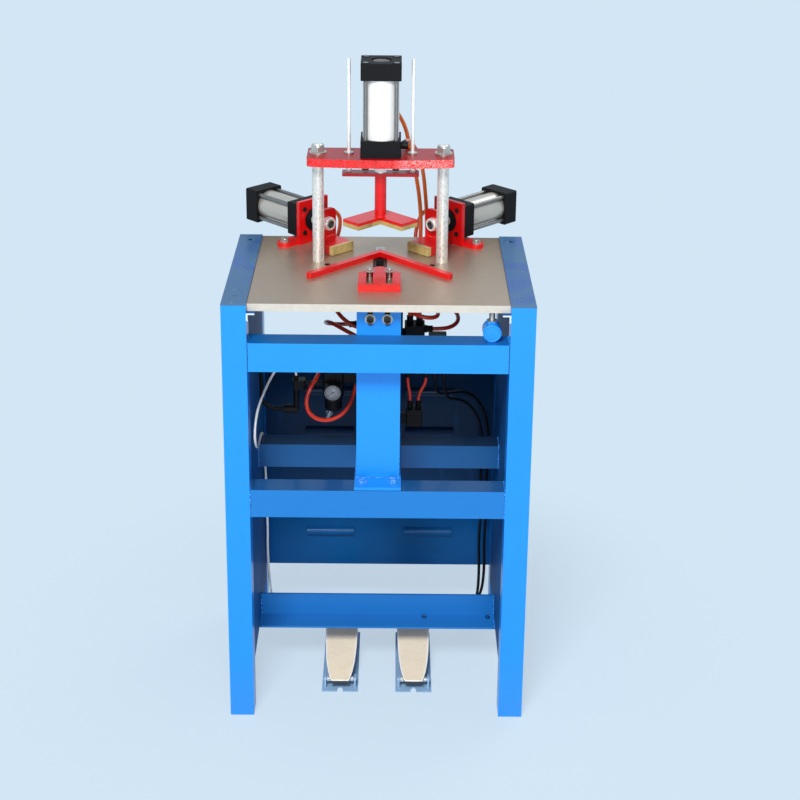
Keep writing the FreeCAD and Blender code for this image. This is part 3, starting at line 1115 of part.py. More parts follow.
save("legs", legs())
left_side = side_panel()
save("side_panels", [left_side, mirrored(left_side)])
save("top_strips", top_strips())
save("cabinet_screws", cabinet_screws())
save("upper_front_beam", beam(0, UPPER_BEAM_TOP, BEAM_HEIGHT))
save("middle_front_beam", beam(FRONT_RECESS, MIDDLE_BEAM_TOP, BEAM_HEIGHT))
save("middle_rear_beam", beam(REAR_BEAM_Y, MIDDLE_BEAM_TOP, REAR_BEAM_HEIGHT))
save("bottom_rail", bottom_rail())
save("back_panel", back_panel())
save("table_plate", table_plate())
save("table_jack", table_jack())
save("mitre_fence", mitre_fence())
save("magazine_rail", magazine_rail())
save("magazine_pusher", magazine_pusher())
save("magazine_cover", magazine_cover())
save("nail_nose", nail_nose())
save("driver_column", driver_column())
save("driver_carrier", driver_carrier())
save("driver_cylinder", driver_cylinder())
save("driver_blade", driver_blade())
save("socket_screws", socket_screws())
save("hex_fasteners", hex_fasteners())

save("guide_posts", guide_posts())
save("top_plate", top_plate())
save("guide_bushes", guide_bushes())
save("guide_rods", guide_rods())
save("press_head", press_head())
save("press_pad", press_pad())
save("press_rod", press_rod())

press_cylinder = air_cylinder(PRESS_BORE, PRESS_TUBE, TOP_PLATE_THICK + GLAND_PROUD, V(1, 0, 0))
clamp_cylinder = air_cylinder(CLAMP_BORE, CLAMP_TUBE, BRACKET_THICK + GLAND_PROUD, V(0, 1, 0))
for node, upright_pieces, lying_pieces in zip(("cylinder_caps", "cylinder_tubes", "cylinder_tie_rods"),
                                              press_cylinder, clamp_cylinder):
    group = []
    for piece in upright_pieces:
        raised = piece.copy()
        raised.translate(V(0, PRESS_Y, PLATE_TOP))
        group.append(raised)
    for piece in lying_pieces:
        left = clamp_place(to_clamp_axis(piece))
        group += [left, mirrored(left)]
    save(node, group)

for node, pieces in (("clamp_bracket", [clamp_bracket()]), ("clamp_rod", clamp_rod()),
                     ("jaw", [clamp_jaw()]), ("pad", [clamp_pad()])):
    placed = [clamp_place(piece) for piece in pieces]
    save("left_" + node, placed)
    save("right_" + node, [mirrored(piece) for piece in placed])

save("pedal_bases", pedal_base(-PEDAL_X) + pedal_base(PEDAL_X))
save("left_tread", tread(-PEDAL_X))
save("right_tread", tread(PEDAL_X))

save("regulator_body", regulator_body())
save("pressure_gauge", pressure_gauge())
save("regulator_knob", regulator_knob())
save("valve_block", valve_block())
save("air_fittings", air_fittings())

for node, route, radius in (("press_hose_upper", PRESS_HOSE_UPPER, HOSE_RADIUS),
                            ("press_hose_lower", PRESS_HOSE_LOWER, HOSE_RADIUS),
                            ("left_clamp_hose", LEFT_CLAMP_HOSE, HOSE_RADIUS),
                            ("right_clamp_hose", RIGHT_CLAMP_HOSE, HOSE_RADIUS),
                            ("supply_hose", SUPPLY_HOSE, HOSE_RADIUS),
                            ("regulator_hose", REGULATOR_HOSE, HOSE_RADIUS),
                            ("inlet_hose", INLET_HOSE, HOSE_RADIUS),
                            ("drain_tube", DRAIN_TUBE, DRAIN_RADIUS),
                            ("manifold_hose_left", MANIFOLD_HOSE_LEFT, THIN_HOSE_RADIUS),
                            ("manifold_hose_right", MANIFOLD_HOSE_RIGHT, THIN_HOSE_RADIUS),
                            ("pedal_hose_left", PEDAL_HOSE_LEFT, THIN_HOSE_RADIUS),
                            ("pedal_hose_right", PEDAL_HOSE_RIGHT, THIN_HOSE_RADIUS)):
    save(node, hose(route, radius, node))

print(len(saved), "nodes")
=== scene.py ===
"""Looks of a pneumatic picture frame underpinner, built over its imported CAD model.

The file is laid out as an add-on: sizes and colours are properties, each group of
pieces has an operator, and main() calls them in order.  Lengths in the tables are in
millimetres, measured from the cabinet's front face (y = 0) and from the floor (z = 0);
lengths inside the finishes are in metres.
"""
import math

import bmesh
import bpy
from mathutils import Matrix, Vector


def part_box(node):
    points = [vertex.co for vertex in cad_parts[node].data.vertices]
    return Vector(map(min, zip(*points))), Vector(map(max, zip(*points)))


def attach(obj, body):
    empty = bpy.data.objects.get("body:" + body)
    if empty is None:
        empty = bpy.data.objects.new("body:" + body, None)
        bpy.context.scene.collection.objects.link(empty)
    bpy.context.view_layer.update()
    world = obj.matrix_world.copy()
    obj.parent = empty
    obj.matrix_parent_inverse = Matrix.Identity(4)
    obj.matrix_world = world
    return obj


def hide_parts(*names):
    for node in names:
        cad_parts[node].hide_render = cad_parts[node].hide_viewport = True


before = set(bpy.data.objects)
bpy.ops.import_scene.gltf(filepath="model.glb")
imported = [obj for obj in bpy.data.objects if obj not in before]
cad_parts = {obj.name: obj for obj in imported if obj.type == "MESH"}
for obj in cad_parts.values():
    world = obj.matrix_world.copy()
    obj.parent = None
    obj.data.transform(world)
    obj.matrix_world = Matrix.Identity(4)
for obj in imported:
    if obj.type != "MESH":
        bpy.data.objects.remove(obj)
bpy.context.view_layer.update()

bl_info = {
    "name": "Picture Frame Underpinner",
    "version": (1, 0, 0),
    "blender": (4, 5, 0),
    "location": "View3D > Sidebar > Underpinner",
    "description": "Finishes, hoses, welds and fittings of a pneumatic V-nailer",
    "category": "Object",
}

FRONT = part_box("legs")[0][1]
MM = 0.001
DIAGONAL = math.sqrt(0.5)

# Places in millimetres that several pieces share.
SIDES = {"left": 1, "right": -1}
TABLE_TOP = 842.0
CLAMP_CORNER = (-158.359, 338.530)  # x, y of the left bracket's lower corner
CLAMP_AXIS = (37.5, 46.5)  # inward, rise of a clamp cylinder's axis from that corner
PRESS_DEPTH = 248
PEDALS = {"left_pedal": -72.5, "right_pedal": 72.5}
HINGE = (99, 17)  # y, z of the pedals' pins
TREAD_SLOPE = 14.0  # degrees
GAUGE = (-88, 606)  # x, z of the dial
JACK_NUT = (203, 29, 787.7)
PILOT_PORTS = (55, 72.5, 90, 107.5, 125)
SILENCED_PORT = 72.5

# Faces in metres from the machine's middle, where a finish changes.
BEAM_END = 0.2316
SIDE_INNER_FACE = (0.2353, 0.2365)


def at(x, y, z):
    """Point in metres, from millimetres right of the middle, behind the front, above the floor."""
    return Vector((x * MM, FRONT + y * MM, z * MM))


# --- node expressions ---
class Field:
    """An output socket that adds Math nodes as it is used in an expression."""

    def __init__(self, graph, socket):
        self.graph = graph
        self.socket = socket

    def maths(self, operation, *others):
        inputs = dict(enumerate((self,) + others))
        return self.graph.node("ShaderNodeMath", inputs, operation=operation)

    def __add__(self, other):
        return self.maths("ADD", other)

    def __sub__(self, other):
        return self.maths("SUBTRACT", other)

    def __rsub__(self, other):
        return self.maths("MULTIPLY", -1.0).maths("ADD", other)

    def __mul__(self, other):
        return self.maths("MULTIPLY", other)

    __radd__ = __add__
    __rmul__ = __mul__

    def step(self, low, high):
        """0 below low, 1 above high, smooth between."""
        inputs = {0: self, 1: low, 2: high, 3: 0.0, 4: 1.0}
        return self.graph.node("ShaderNodeMapRange", inputs, interpolation_type="SMOOTHSTEP")


class Graph:
    """A node tree that grows one node at a time."""

    def __init__(self, tree):
        self.tree = tree

    def node(self, kind, inputs=None, output=0, **settings):
        """Any node: its settings first, then the values or fields of its sockets."""
        made = self.tree.nodes.new(kind)
        for key, value in settings.items():
            setattr(made, key, value)
        for key, value in (inputs or {}).items():
            self.join(made.inputs[key], value)
        return Field(self, made.outputs[output])

    def join(self, socket, value):
        if isinstance(value, Field):
            self.tree.links.new(value.socket, socket)
        else:
            socket.default_value = value

    def seen_directly(self):
        """1 for camera, glossy and transmission rays, 0 for the light that falls on things."""
        camera, glossy, through = (self.node("ShaderNodeLightPath", output=f"Is {ray} Ray")
                                   for ray in ("Camera", "Glossy", "Transmission"))
        return (camera + glossy + through).maths("MINIMUM", 1.0)


class Finish(Graph):
    """One material under construction, with its base tone and a Principled shader."""

    def __init__(self, name, tone=None):
        self.tone = tone
        self.material = bpy.data.materials.new(name)
        self.material.use_nodes = True
        super().__init__(self.material.node_tree)
        self.tree.nodes.clear()
        self.shader = self.tree.nodes.new("ShaderNodeBsdfPrincipled")
        self.surface = self.tree.nodes.new("ShaderNodeOutputMaterial").inputs[0]
        self.tree.links.new(self.shader.outputs[0], self.surface)

    def done(self, roughness, relief=None, coat=(0.0, 0.03), specular=0.5, **inputs):
        """The material; other sockets go by name, with underscores for spaces.

        relief holds a bump's height, distance and strength, coat a weight and a roughness.
        """
        inputs.update(Base_Color=self.tone, Roughness=roughness, Coat_Weight=coat[0],
                      Coat_Roughness=coat[1], Specular_IOR_Level=specular)
        if relief:
            bump = dict(zip(("Height", "Distance", "Strength"), relief))
            inputs["Normal"] = self.node("ShaderNodeBump", bump)
        for key, value in inputs.items():
            self.join(self.shader.inputs[key.replace("_", " ")], value)
        return self.material

    def place(self):
        """Object coordinates in metres."""
        return self.node("ShaderNodeTexCoord", output="Object")

    def mapped(self, stretch=(1, 1, 1), turn=(0, 0, 0)):
        inputs = {"Vector": self.place(), "Scale": stretch, "Rotation": turn}
        return self.node("ShaderNodeMapping", inputs)

    def component(self, vector, axis):
        return self.node("ShaderNodeSeparateXYZ", {0: vector}, axis)

    def height(self):
        return self.component(self.place(), 2)

    def across(self):
        return self.component(self.place(), 0)

    def facing(self, axis):
        """Component of the true normal along an axis, 0 X, 1 Y, 2 Z."""
        return self.component(self.node("ShaderNodeNewGeometry", output="True Normal"), axis)

    def noise(self, scale, detail=3.0, stretch=(1, 1, 1), roughness=0.5, distortion=0.0):
        inputs = {"Vector": self.mapped(stretch), "Scale": scale, "Detail": detail,
                  "Roughness": roughness, "Distortion": distortion}
        return self.node("ShaderNodeTexNoise", inputs)

    def cells(self, scale, stretch=(1, 1, 1)):
        inputs = {"Vector": self.mapped(stretch), "Scale": scale}
        return self.node("ShaderNodeTexVoronoi", inputs)

    def mix(self, mask, first, second):
        """Colour between two colours or colour fields."""
        inputs = {0: mask, 6: first, 7: second}
        return self.node("ShaderNodeMix", inputs, 2, data_type="RGBA")

    def shades(self, mask, colour, low, high):
        """Colour between two shades of one colour."""
        return self.mix(mask, shade(colour, low), shade(colour, high))

    def over(self, mask, colour):
        """Lays a colour over the tone so far, where the mask is 1."""
        self.tone = self.mix(mask, self.tone, colour)


def rgb(*values):
    """Scene-linear colour with alpha from display values 0 to 255."""
    parts = [value / 255.0 for value in values]
    return (*(v / 12.92 if v <= 0.04045 else ((v + 0.055) / 1.055) ** 2.4 for v in parts), 1.0)


def shade(colour, factor):
    return tuple(channel * factor for channel in colour[:3]) + (1.0,)


# --- finishes ---
def cabinet_enamel(colour, name="cabinet_enamel", gloss=0.30, inside=0.0, seam=0.0, top=0.0):
    """Sprayed enamel: orange peel, clouding, and dust near the floor.

    inside is how far the sides' inner faces are darkened as painted shade, with a rougher,
    thinner coat there; top how far faces that look up are darkened as painted shade; and seam
    the distance from the middle at which a painted seam starts.
    """
    made = Finish(name)
    peel = made.noise(420.0, 2.0)
    cloud = made.noise(6.0, 4.0)
    scuff = made.noise(60.0, 6.0, stretch=(1, 1, 0.35)).step(0.66, 0.76)
    low = 1.0 - made.height().step(0.0, 0.16)
    made.tone = made.shades(cloud, colour, 0.93, 1.06)
    made.over(scuff * 0.12, shade(colour, 0.60))
    made.over(low * 0.18, rgb(90, 140, 185))
    if top:
        # Painted shade on faces that look up.
        made.over(made.facing(2).step(0.6, 0.9) * top, shade(colour, 0.15))
    if seam:
        reach = made.noise(330.0) * 0.0024 + seam
        line = (made.across().maths("ABSOLUTE") - reach).step(0.0, 0.0006)
        made.over(line * 0.9, shade(colour, 0.18))
    rough = cloud * 0.10 + scuff * 0.12 + gloss
    coat = 0.15
    if inside:
        # Painted shade on the sides' inner faces, which also get a rougher, thinner coat.
        inner_shade = (1.0 - made.across().maths("ABSOLUTE").step(*SIDE_INNER_FACE)) * inside
        made.over(inner_shade, shade(colour, 0.16))
        rough = inner_shade * 0.4 + rough
        coat = 0.15 - inner_shade * 0.15
    return made.done(rough, (peel, 0.00010, 0.4), (coat, 0.08), 0.18 if inside else 0.35)


def strip_enamel(colour, reflection_blue):
    """Top strips' enamel: a grey-blue base that is painted shade and sheen, glossier patches of
    painted reflection in dark blue, and bare nicks.
    """
    made = Finish("strip_enamel")
    patch = made.noise(7.0, distortion=0.8).step(0.50, 0.64)
    grain = made.noise(160.0, 5.0)
    nick = made.noise(210.0, 4.0).step(0.70, 0.73)
    made.tone = made.shades(grain, colour, 0.88, 1.10)
    # Dark blue patches of painted reflection.
    made.over(patch * 0.75, reflection_blue)
    made.over(nick * 0.8, rgb(196, 206, 214))
    return made.done(grain * 0.15 - patch * 0.16 + 0.42, (grain - nick, 0.00015, 0.5),
                     coat=(0.1, 0.1), specular=0.35)


def rubbed_enamel(name, colour, low, high, bare):
    """Enamel over a lumpy or handled surface: dark in its hollows, with pale glints that are
    partly bare metal and partly painted highlight.
    """
    made = Finish(name)
    lump = made.noise(240.0, 4.0)
    glint = made.noise(330.0, 5.0, roughness=0.7).step(bare, bare + 0.06)
    made.tone = made.shades(lump.step(0.38, 0.62), colour, low, high)
    # Pale glints: partly bare metal, partly painted highlight.
    made.over(glint * 0.85, rgb(226, 238, 246))
    return made.done(lump * 0.2 + 0.16, (lump, 0.0006, 0.6), coat=(0.3, 0.08),
                     Metallic=glint * 0.5)


def inner_enamel(colour):
    """Back sheet: the cabinet blue, its front face darkened as painted shade that deepens towards
    the top under the table, with darker clouds and paler streaks; the rear face keeps the full
    colour.
    """
    made = Finish("inner_enamel")
    cloud = made.noise(5.0, 4.0)
    streak = made.noise(26.0, 5.0, stretch=(1.0, 1.0, 0.15))
    # Painted shade, darkest towards the top under the table.
    made.tone = made.shades(made.height().step(0.05, 0.50), colour, 0.40, 0.07)
    made.over(cloud.step(0.35, 0.75) * 0.35, shade(colour, 0.08))
    made.over(streak.step(0.62, 0.78) * 0.22, shade(colour, 0.40))
    # Faces that look back keep the full colour, without the painted shade.
    rear = made.shades(cloud, colour, 0.85, 1.0)
    made.over(made.facing(1).step(0.2, 0.6), rear)
    relief = (made.noise(300.0) + cloud * 2.0, 0.0004, 0.4)
    return made.done(cloud * 0.15 + 0.24, relief, coat=(0.05, 0.12), specular=0.12)


def tool_enamel(colour):
    """Thick brushed red paint with runs and small knocks."""
    made = Finish("tool_enamel")
    peel = made.noise(240.0)
    cloud = made.noise(22.0, 4.0)
    chip = made.noise(95.0, 5.0).step(0.72, 0.75)
    made.tone = made.shades(cloud, colour, 0.80, 1.12)
    made.over(chip, shade(colour, 0.35))
    relief = (peel + cloud * 0.7, 0.0004, 0.5)
    rough = cloud * 0.14 + chip * 0.3 + 0.22
    return made.done(rough, relief, coat=(0.25, 0.08), specular=0.35)


def flame_cut_enamel(colour):
    """Red paint over a flame-cut edge, rubbed paler to the right."""
    made = Finish("flame_cut_enamel")
    grain = made.noise(620.0, 4.0, stretch=(0.6, 0.6, 1.0), roughness=0.7)
    ridge = made.noise(150.0, 4.0, stretch=(1.0, 1.0, 0.25))
    upright = 1.0 - made.facing(2).maths("ABSOLUTE").step(0.3, 0.6)
    worn = made.across().step(0.020, 0.045) * 0.80 + 0.20
    fleck = grain.step(0.42, 0.62) * upright * worn
    lay = ridge.step(0.3, 0.7)
    # Faces that look up are darkened as painted shade; the upright sides keep the brighter red.
    made.tone = made.shades(lay, colour, 0.36, 0.56)
    made.over(upright, made.shades(lay, colour, 0.85, 1.15))
    made.over(fleck * 0.85, rgb(250, 178, 176))
    relief = ((ridge + grain * 0.5) * upright, 0.0010, 0.7)
    return made.done(ridge * 0.15 + 0.26, relief, coat=(0.10, 0.10), specular=0.22)


def ground_plate(colour, edge):
    """Table top: long grinding lines, brown bloom and worn bright patches."""
    made = Finish("ground_plate")
    lines = made.noise(52.0, 8.0, stretch=(1.0, 20.0, 1.0), roughness=0.6)
    bloom = made.noise(4.0, 5.0, distortion=0.6)
    spots = made.noise(38.0, 6.0).step(0.66, 0.76)
    made.tone = made.shades(bloom, colour, 0.80, 1.12)
    made.over(lines.step(0.35, 0.65) * 0.40, shade(colour, 1.30))
    made.over(spots * 0.4, shade(colour, 0.65))
    front = (0.0 - made.facing(1)).step(0.7, 0.9)
    made.over(front, made.shades(made.noise(90.0, 4.0), edge, 1.0, 0.80))
    rough = lines * 0.14 + bloom * 0.10 + spots * 0.12 + 0.26
    return made.done(rough, (lines, 0.00012, 0.5), Metallic=0.75 - front * 0.65)


def drawn_metal(name, colour, roughness, streak=(1, 1, 1), mottle=0.12, metallic=0.85):
    """Bright metal with streaks along one axis."""
    made = Finish(name)
    streaks = made.noise(420.0, stretch=streak)
    patches = made.noise(46.0, 5.0)
    made.tone = made.shades(patches, colour, 1.0 - mottle, 1.0 + mottle * 0.4)
    rough = streaks * 0.12 + patches * 0.10 + roughness
    return made.done(rough, (streaks, 0.00003, 0.3), Metallic=metallic)


def brushed_tube(name, colour, turn):
    """Drawn cylinder tube with fine lines round it and a soft bloom."""
    made = Finish(name)
    inputs = {"Vector": made.mapped(turn=turn), "Scale": 260.0, "Distortion": 3.0, "Detail": 3.0}
    lines = made.node("ShaderNodeTexWave", inputs, wave_type="BANDS", bands_direction="Z")
    bloom = made.noise(18.0, 4.0)
    made.tone = made.shades(bloom, colour, 0.86, 1.04)
    made.over(lines * 0.18, shade(colour, 0.70))
    rough = lines * 0.10 + bloom * 0.10 + 0.26
    return made.done(rough, (lines, 0.00004, 0.4), Metallic=0.7)


def post_chrome():
    """Hard chrome over lightly pitted bar, frosted in places."""
    made = Finish("post_chrome")
    pits = made.noise(440.0, 4.0, stretch=(1.0, 1.0, 0.4), roughness=0.6)
    patches = made.noise(60.0, 4.0)
    made.tone = made.mix(pits.step(0.30, 0.60), rgb(202, 198, 190), rgb(242, 240, 234))
    rough = patches * 0.16 + pits * 0.08 + 0.18
    return made.done(rough, (pits, 0.00003, 0.28), Metallic=0.55)


def cast_black(name="cast_black", colour=(15, 15, 17), roughness=0.46, grain=900.0):
    """Black anodised or moulded surface with a fine grain."""
    made = Finish(name)
    grit = made.noise(grain)
    cloud = made.noise(30.0)
    made.tone = made.shades(cloud, rgb(*colour), 0.7, 1.5)
    made.over(made.noise(140.0, 5.0).step(0.68, 0.76) * 0.4, rgb(80, 80, 82))
    rough = grit * 0.16 + cloud * 0.08 + roughness
    return made.done(rough, (grit, 0.00005, 0.5), specular=0.14)


def soft_pad():
    """Tan polyurethane pad: pores, grime and a paler worn skin on top."""
    made = Finish("soft_pad")
    pores = made.cells(380.0)
    dirt = made.noise(42.0, 6.0).step(0.48, 0.72)
    made.tone = made.mix(made.noise(90.0, 4.0), rgb(166, 142, 76), rgb(206, 186, 124))
    made.over(dirt * 0.55, rgb(112, 92, 48))
    made.over(made.facing(2).step(0.5, 0.9) * 0.5, rgb(196, 184, 146))
    return made.done(0.62, (pores, 0.0004, 0.5))


def tube_plastic(name, colour, gloss=0.24, depth=0.25, lit_colour=None):
    """Extruded hose, slightly cloudy, redder below the table as painted shade and brighter orange
    above it as painted light.
    """
    made = Finish(name)
    cloud = made.noise(70.0)
    made.tone = made.shades(cloud, colour, 1.0 - depth, 1.1)
    if lit_colour:
        lit_tone = made.shades(cloud, lit_colour, 1.0 - depth, 1.0)
        # Above the table the hose takes the brighter colour: painted light.
        made.over(made.height().step(0.80, 0.92), lit_tone)
    return made.done(cloud * 0.1 + gloss, (made.noise(600.0, 2.0), 0.00004, 0.3),
                     coat=(0.25, 0.12))


def tread_plastic(colour):
    """Non-slip tread: a fine, grimy pebble on top and dark moulded skirts."""
    made = Finish("tread_plastic")
    pebble = made.cells(360.0, stretch=(1, 1, 0.2))
    patch = made.noise(34.0, 5.0).step(0.40, 0.62)
    grime = made.noise(26.0, 6.0).step(0.52, 0.78)
    top = made.facing(2).step(0.6, 0.9)
    worn = pebble.step(0.10, 0.55) * (patch * 0.3 + 0.7)
    made.tone = made.shades(worn, colour, 1.0, 0.89)
    made.over(grime * 0.03, shade(colour, 0.7))
    made.tone = made.mix(top, rgb(58, 60, 66), made.tone)
    return made.done(0.52, ((1.0 - pebble) * patch * top, 0.0006, 0.7))


def dial_face(colour):
    """Printed dial, a little yellowed and dusty."""
    made = Finish("dial_face")
    dust = made.noise(120.0, 5.0)
    made.tone = made.shades(dust, colour, 0.82, 1.05)
    return made.done(dust * 0.2 + 0.4, (dust, 0.00003, 0.2))


def dial_glass():
    """Clear cover with faint smears."""
    made = Finish("dial_glass", rgb(235, 240, 244))
    smear = made.noise(60.0, 5.0, stretch=(1.0, 1.0, 0.4))
    return made.done(smear * 0.15 + 0.03, Alpha=smear * 0.10 + 0.10)


# --- hoses ---
# The middle line of each hose, from fitting to fitting.
HOSE_ROUTES = {
    "press_hose_upper": (
        (0, 292.5, 1203), (0, 292.5, 1170), (12, 299, 1141), (34, 310, 1114), (47, 324, 1084),
        (53, 341, 1052), (58, 361, 1018), (66, 385, 984), (73, 404, 944), (78, 413, 902),
        (80, 416, 862), (79, 413, 824), (82, 396, 790), (86, 362, 770), (90, 322, 769),
        (90, 280, 780), (87, 246, 797), (82, 216, 797), (76, 198, 776), (76, 198, 749)),
    "press_hose_lower": (
        (44.5, 262, 1071), (44.5, 284, 1071), (56, 308, 1063), (69, 330, 1038), (78, 360, 1006),
        (84, 392, 968), (88, 411, 926), (91, 419, 886), (92, 421, 846), (94, 415, 808),
        (100, 394, 774), (107, 358, 754), (117, 318, 744), (134, 285, 741), (149, 255, 736),
        (152, 229, 730), (142, 210, 726), (124, 198, 724), (100, 198, 724)),
    "left_clamp_hose": (
        (-115.581, 415.251, 888.5), (-98.581, 432.251, 888.5), (-82, 443, 870), (-83, 441, 842),
        (-93, 433, 812), (-99, 413, 784), (-99, 378, 768), (-98, 330, 763), (-98, 285, 765),
        (-92, 246, 757), (-76, 219, 740), (-49, 207, 723), (-8, 204, 715), (34, 204, 715)),
    "right_clamp_hose": (
        (115.581, 415.251, 888.5), (98.581, 432.251, 888.5), (83, 446, 878), (74, 451, 855),
        (69, 445, 828), (72, 432, 802), (76, 410, 778), (77, 376, 756), (84, 332, 746),
        (96, 286, 750), (106, 238, 760), (110, 190, 767), (110, 144, 768), (82, 128, 773),
        (54, 144, 780), (54, 175, 786), (56.5, 189, 779.5), (58, 198, 766), (58, 198, 749)),
    "supply_hose": (
        (34, 204, 690), (-6, 204, 690), (-40, 210, 700), (-68, 220, 712), (-91, 236, 719),
        (-103, 258, 714), (-106.5, 279, 703), (-99, 295, 695), (-82, 305.15, 690),
        (-59, 305.15, 690)),
    "regulator_hose": (
        (-115, 191, 640), (-115, 163, 640), (-128, 144, 628), (-138, 138, 602), (-134, 140, 574),
        (-116, 146, 556), (-90, 154, 552), (-66, 163, 562), (-50, 180, 584), (-43, 206, 610),
        (-24, 218, 636), (6, 204, 652), (34, 204, 652)),
    "drain_tube": (
        (-160, 205, 623), (-160, 205, 636), (-170, 202, 651), (-188, 190, 652), (-203, 166, 640),
        (-216, 132, 620), (-226, 96, 600), (-229, 66, 576), (-229, 62, 548), (-228, 88, 524),
        (-229, 138, 505), (-230, 192, 499), (-230, 240, 487), (-229, 272, 452), (-230, 288, 408),
        (-229, 298, 354), (-230, 305, 298), (-228, 311, 242), (-230, 316, 186), (-228, 322, 130),
        (-226, 330, 78), (-220, 340, 34)),
    "inlet_hose": (
        (-228, 205, 658), (-228, 205, 632), (-226.5, 205, 601), (-228, 205, 570), (-210, 205, 552),
        (-184, 205, 552)),
    "manifold_hose_left": (
        (55, 198, 626), (55, 198, 611), (60, 195, 591), (60, 195, 576)),
    "manifold_hose_right": (
        (90, 198, 626), (90, 198, 611), (76, 195, 591), (76, 195, 576)),
    "pedal_hose_left": (
        (-72.5, 304, 15), (-72.5, 328, 15), (-52, 350, 8), (-12, 358, 4), (42, 361, 5),
        (100, 360, 4), (154, 361, 6), (196, 359, 22), (218, 355, 60), (223, 352, 118),
        (220, 351, 190), (224, 352, 262), (221, 351, 334), (224, 351, 404), (219, 345, 468),
        (200, 322, 524), (168, 282, 560), (134, 238, 574), (107.5, 198, 590), (107.5, 198, 626)),
    "pedal_hose_right": (
        (72.5, 304, 15), (72.5, 326, 15), (92, 340, 7), (128, 342, 4), (168, 340, 8),
        (196, 336, 28), (209, 333, 68), (211, 334, 130), (208, 332, 202), (212, 334, 274),
        (208, 332, 346), (211, 332, 414), (204, 322, 474), (184, 294, 522), (158, 252, 556),
        (125, 198, 580), (125, 198, 626)),
}


def tube_curve(name, kind, route, radius, rounding):
    """Object and spline of a round tube along a route."""
    data = bpy.data.curves.new(name, "CURVE")
    data.dimensions = "3D"
    data.bevel_depth = radius
    data.bevel_resolution = rounding
    spline = data.splines.new(kind)
    spline.points.add(len(route) - 1)
    for point, place in zip(spline.points, route):
        point.co = at(*place).to_4d()
    return shown(name, data), spline


def hose_curve(name, route, radius, material):
    """One smooth round hose along its route."""
    piece, spline = tube_curve(name, "NURBS", route, radius, 3)
    spline.order_u = 3
    spline.use_endpoint_u = True
    piece.data.resolution_u = 8
    piece.data.use_fill_caps = True
    piece.data.materials.append(material)
    return piece


def curve_length(piece):
    """Length of the curve's own line, without its bevel."""
    plain = piece.data.copy()
    plain.bevel_depth = 0.0
    spots = [v.co for v in finished_mesh(shown("probe", plain)).vertices]
    return sum((b - a).length for a, b in zip(spots, spots[1:]))


# --- objects and meshes ---
def shown(name, data):
    """New object of the scene."""
    piece = bpy.data.objects.new(name, data)
    bpy.context.scene.collection.objects.link(piece)
    return piece


def finished_mesh(piece):
    """Mesh of a piece with its modifiers applied; the piece itself is removed."""
    graph = bpy.context.evaluated_depsgraph_get()
    mesh = bpy.data.meshes.new_from_object(piece.evaluated_get(graph))
    bpy.data.objects.remove(piece)
    return mesh


def settled(name, shape):
    """Mesh from a bmesh, which is freed."""
    mesh = bpy.data.meshes.new(name)
    shape.to_mesh(mesh)
    shape.free()
    return mesh


def axis_points(name, places):
    """Loose points, each with its own axis; places holds pairs of point and axis."""
    mesh = bpy.data.meshes.new(name)
    mesh.from_pydata([at(*place) for place, axis in places], [], [])
    stored = mesh.attributes.new("axis", "FLOAT_VECTOR", "POINT")
    for item, (place, axis) in zip(stored.data, places):
        item.vector = Vector(axis).normalized()
    return mesh


def edge_lines(name, lines):
    """Separate straight edges, given as pairs of ends."""
    mesh = bpy.data.meshes.new(name)
    corners = [at(*end) for line in lines for end in line]
    mesh.from_pydata(corners, [(i, i + 1) for i in range(0, len(corners), 2)], [])
    return mesh


def lathed(name, profile, steps):
    """Turned piece from (radius, height) pairs: a disc from axis to axis, or else a ring."""
    shape = bmesh.new()
    turns = [Matrix.Rotation(math.tau * k / steps, 3, "Z") for k in range(steps)]
    rings = []
    for radius, height in profile:
        ring = [shape.verts.new(turn @ Vector((radius * MM, 0.0, height * MM)))
                for turn in turns[:steps if radius else 1]]
        rings.append(ring * (steps // len(ring)))
    if profile[0][0] > 0:
        rings.append(rings[0])
    for low, high in zip(rings, rings[1:]):
        for k in range(steps):
            corners = dict.fromkeys((low[k - 1], low[k], high[k], high[k - 1]))
            shape.faces.new(list(corners))
    return settled(name, shape)


def spread(name, profile, places, material, body="cabinet", steps=32):
    """Copies of one turned piece at several places on one body."""
    pattern = shown(name + "_pattern", lathed(name, profile, steps))
    mesh = axis_points(name, places)
    piece = copies_tree().grow(name, mesh, Pattern=pattern, Material=material)
    bpy.data.objects.remove(pattern)
    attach(piece, body)


def clamp_spot(side, along, inward, rise):
    """Point of a clamp from its bracket's lower corner: along its push, inwards and up."""
    x = CLAMP_CORNER[0] + (along + inward) * DIAGONAL
    y = CLAMP_CORNER[1] + (inward - along) * DIAGONAL
    return (side * x, y, TABLE_TOP + rise)


def clamp_push(side, way=1):
    """Direction in which a clamp pushes, or with way -1 its opposite."""
    return (way * side * DIAGONAL, -way * DIAGONAL, 0.0)


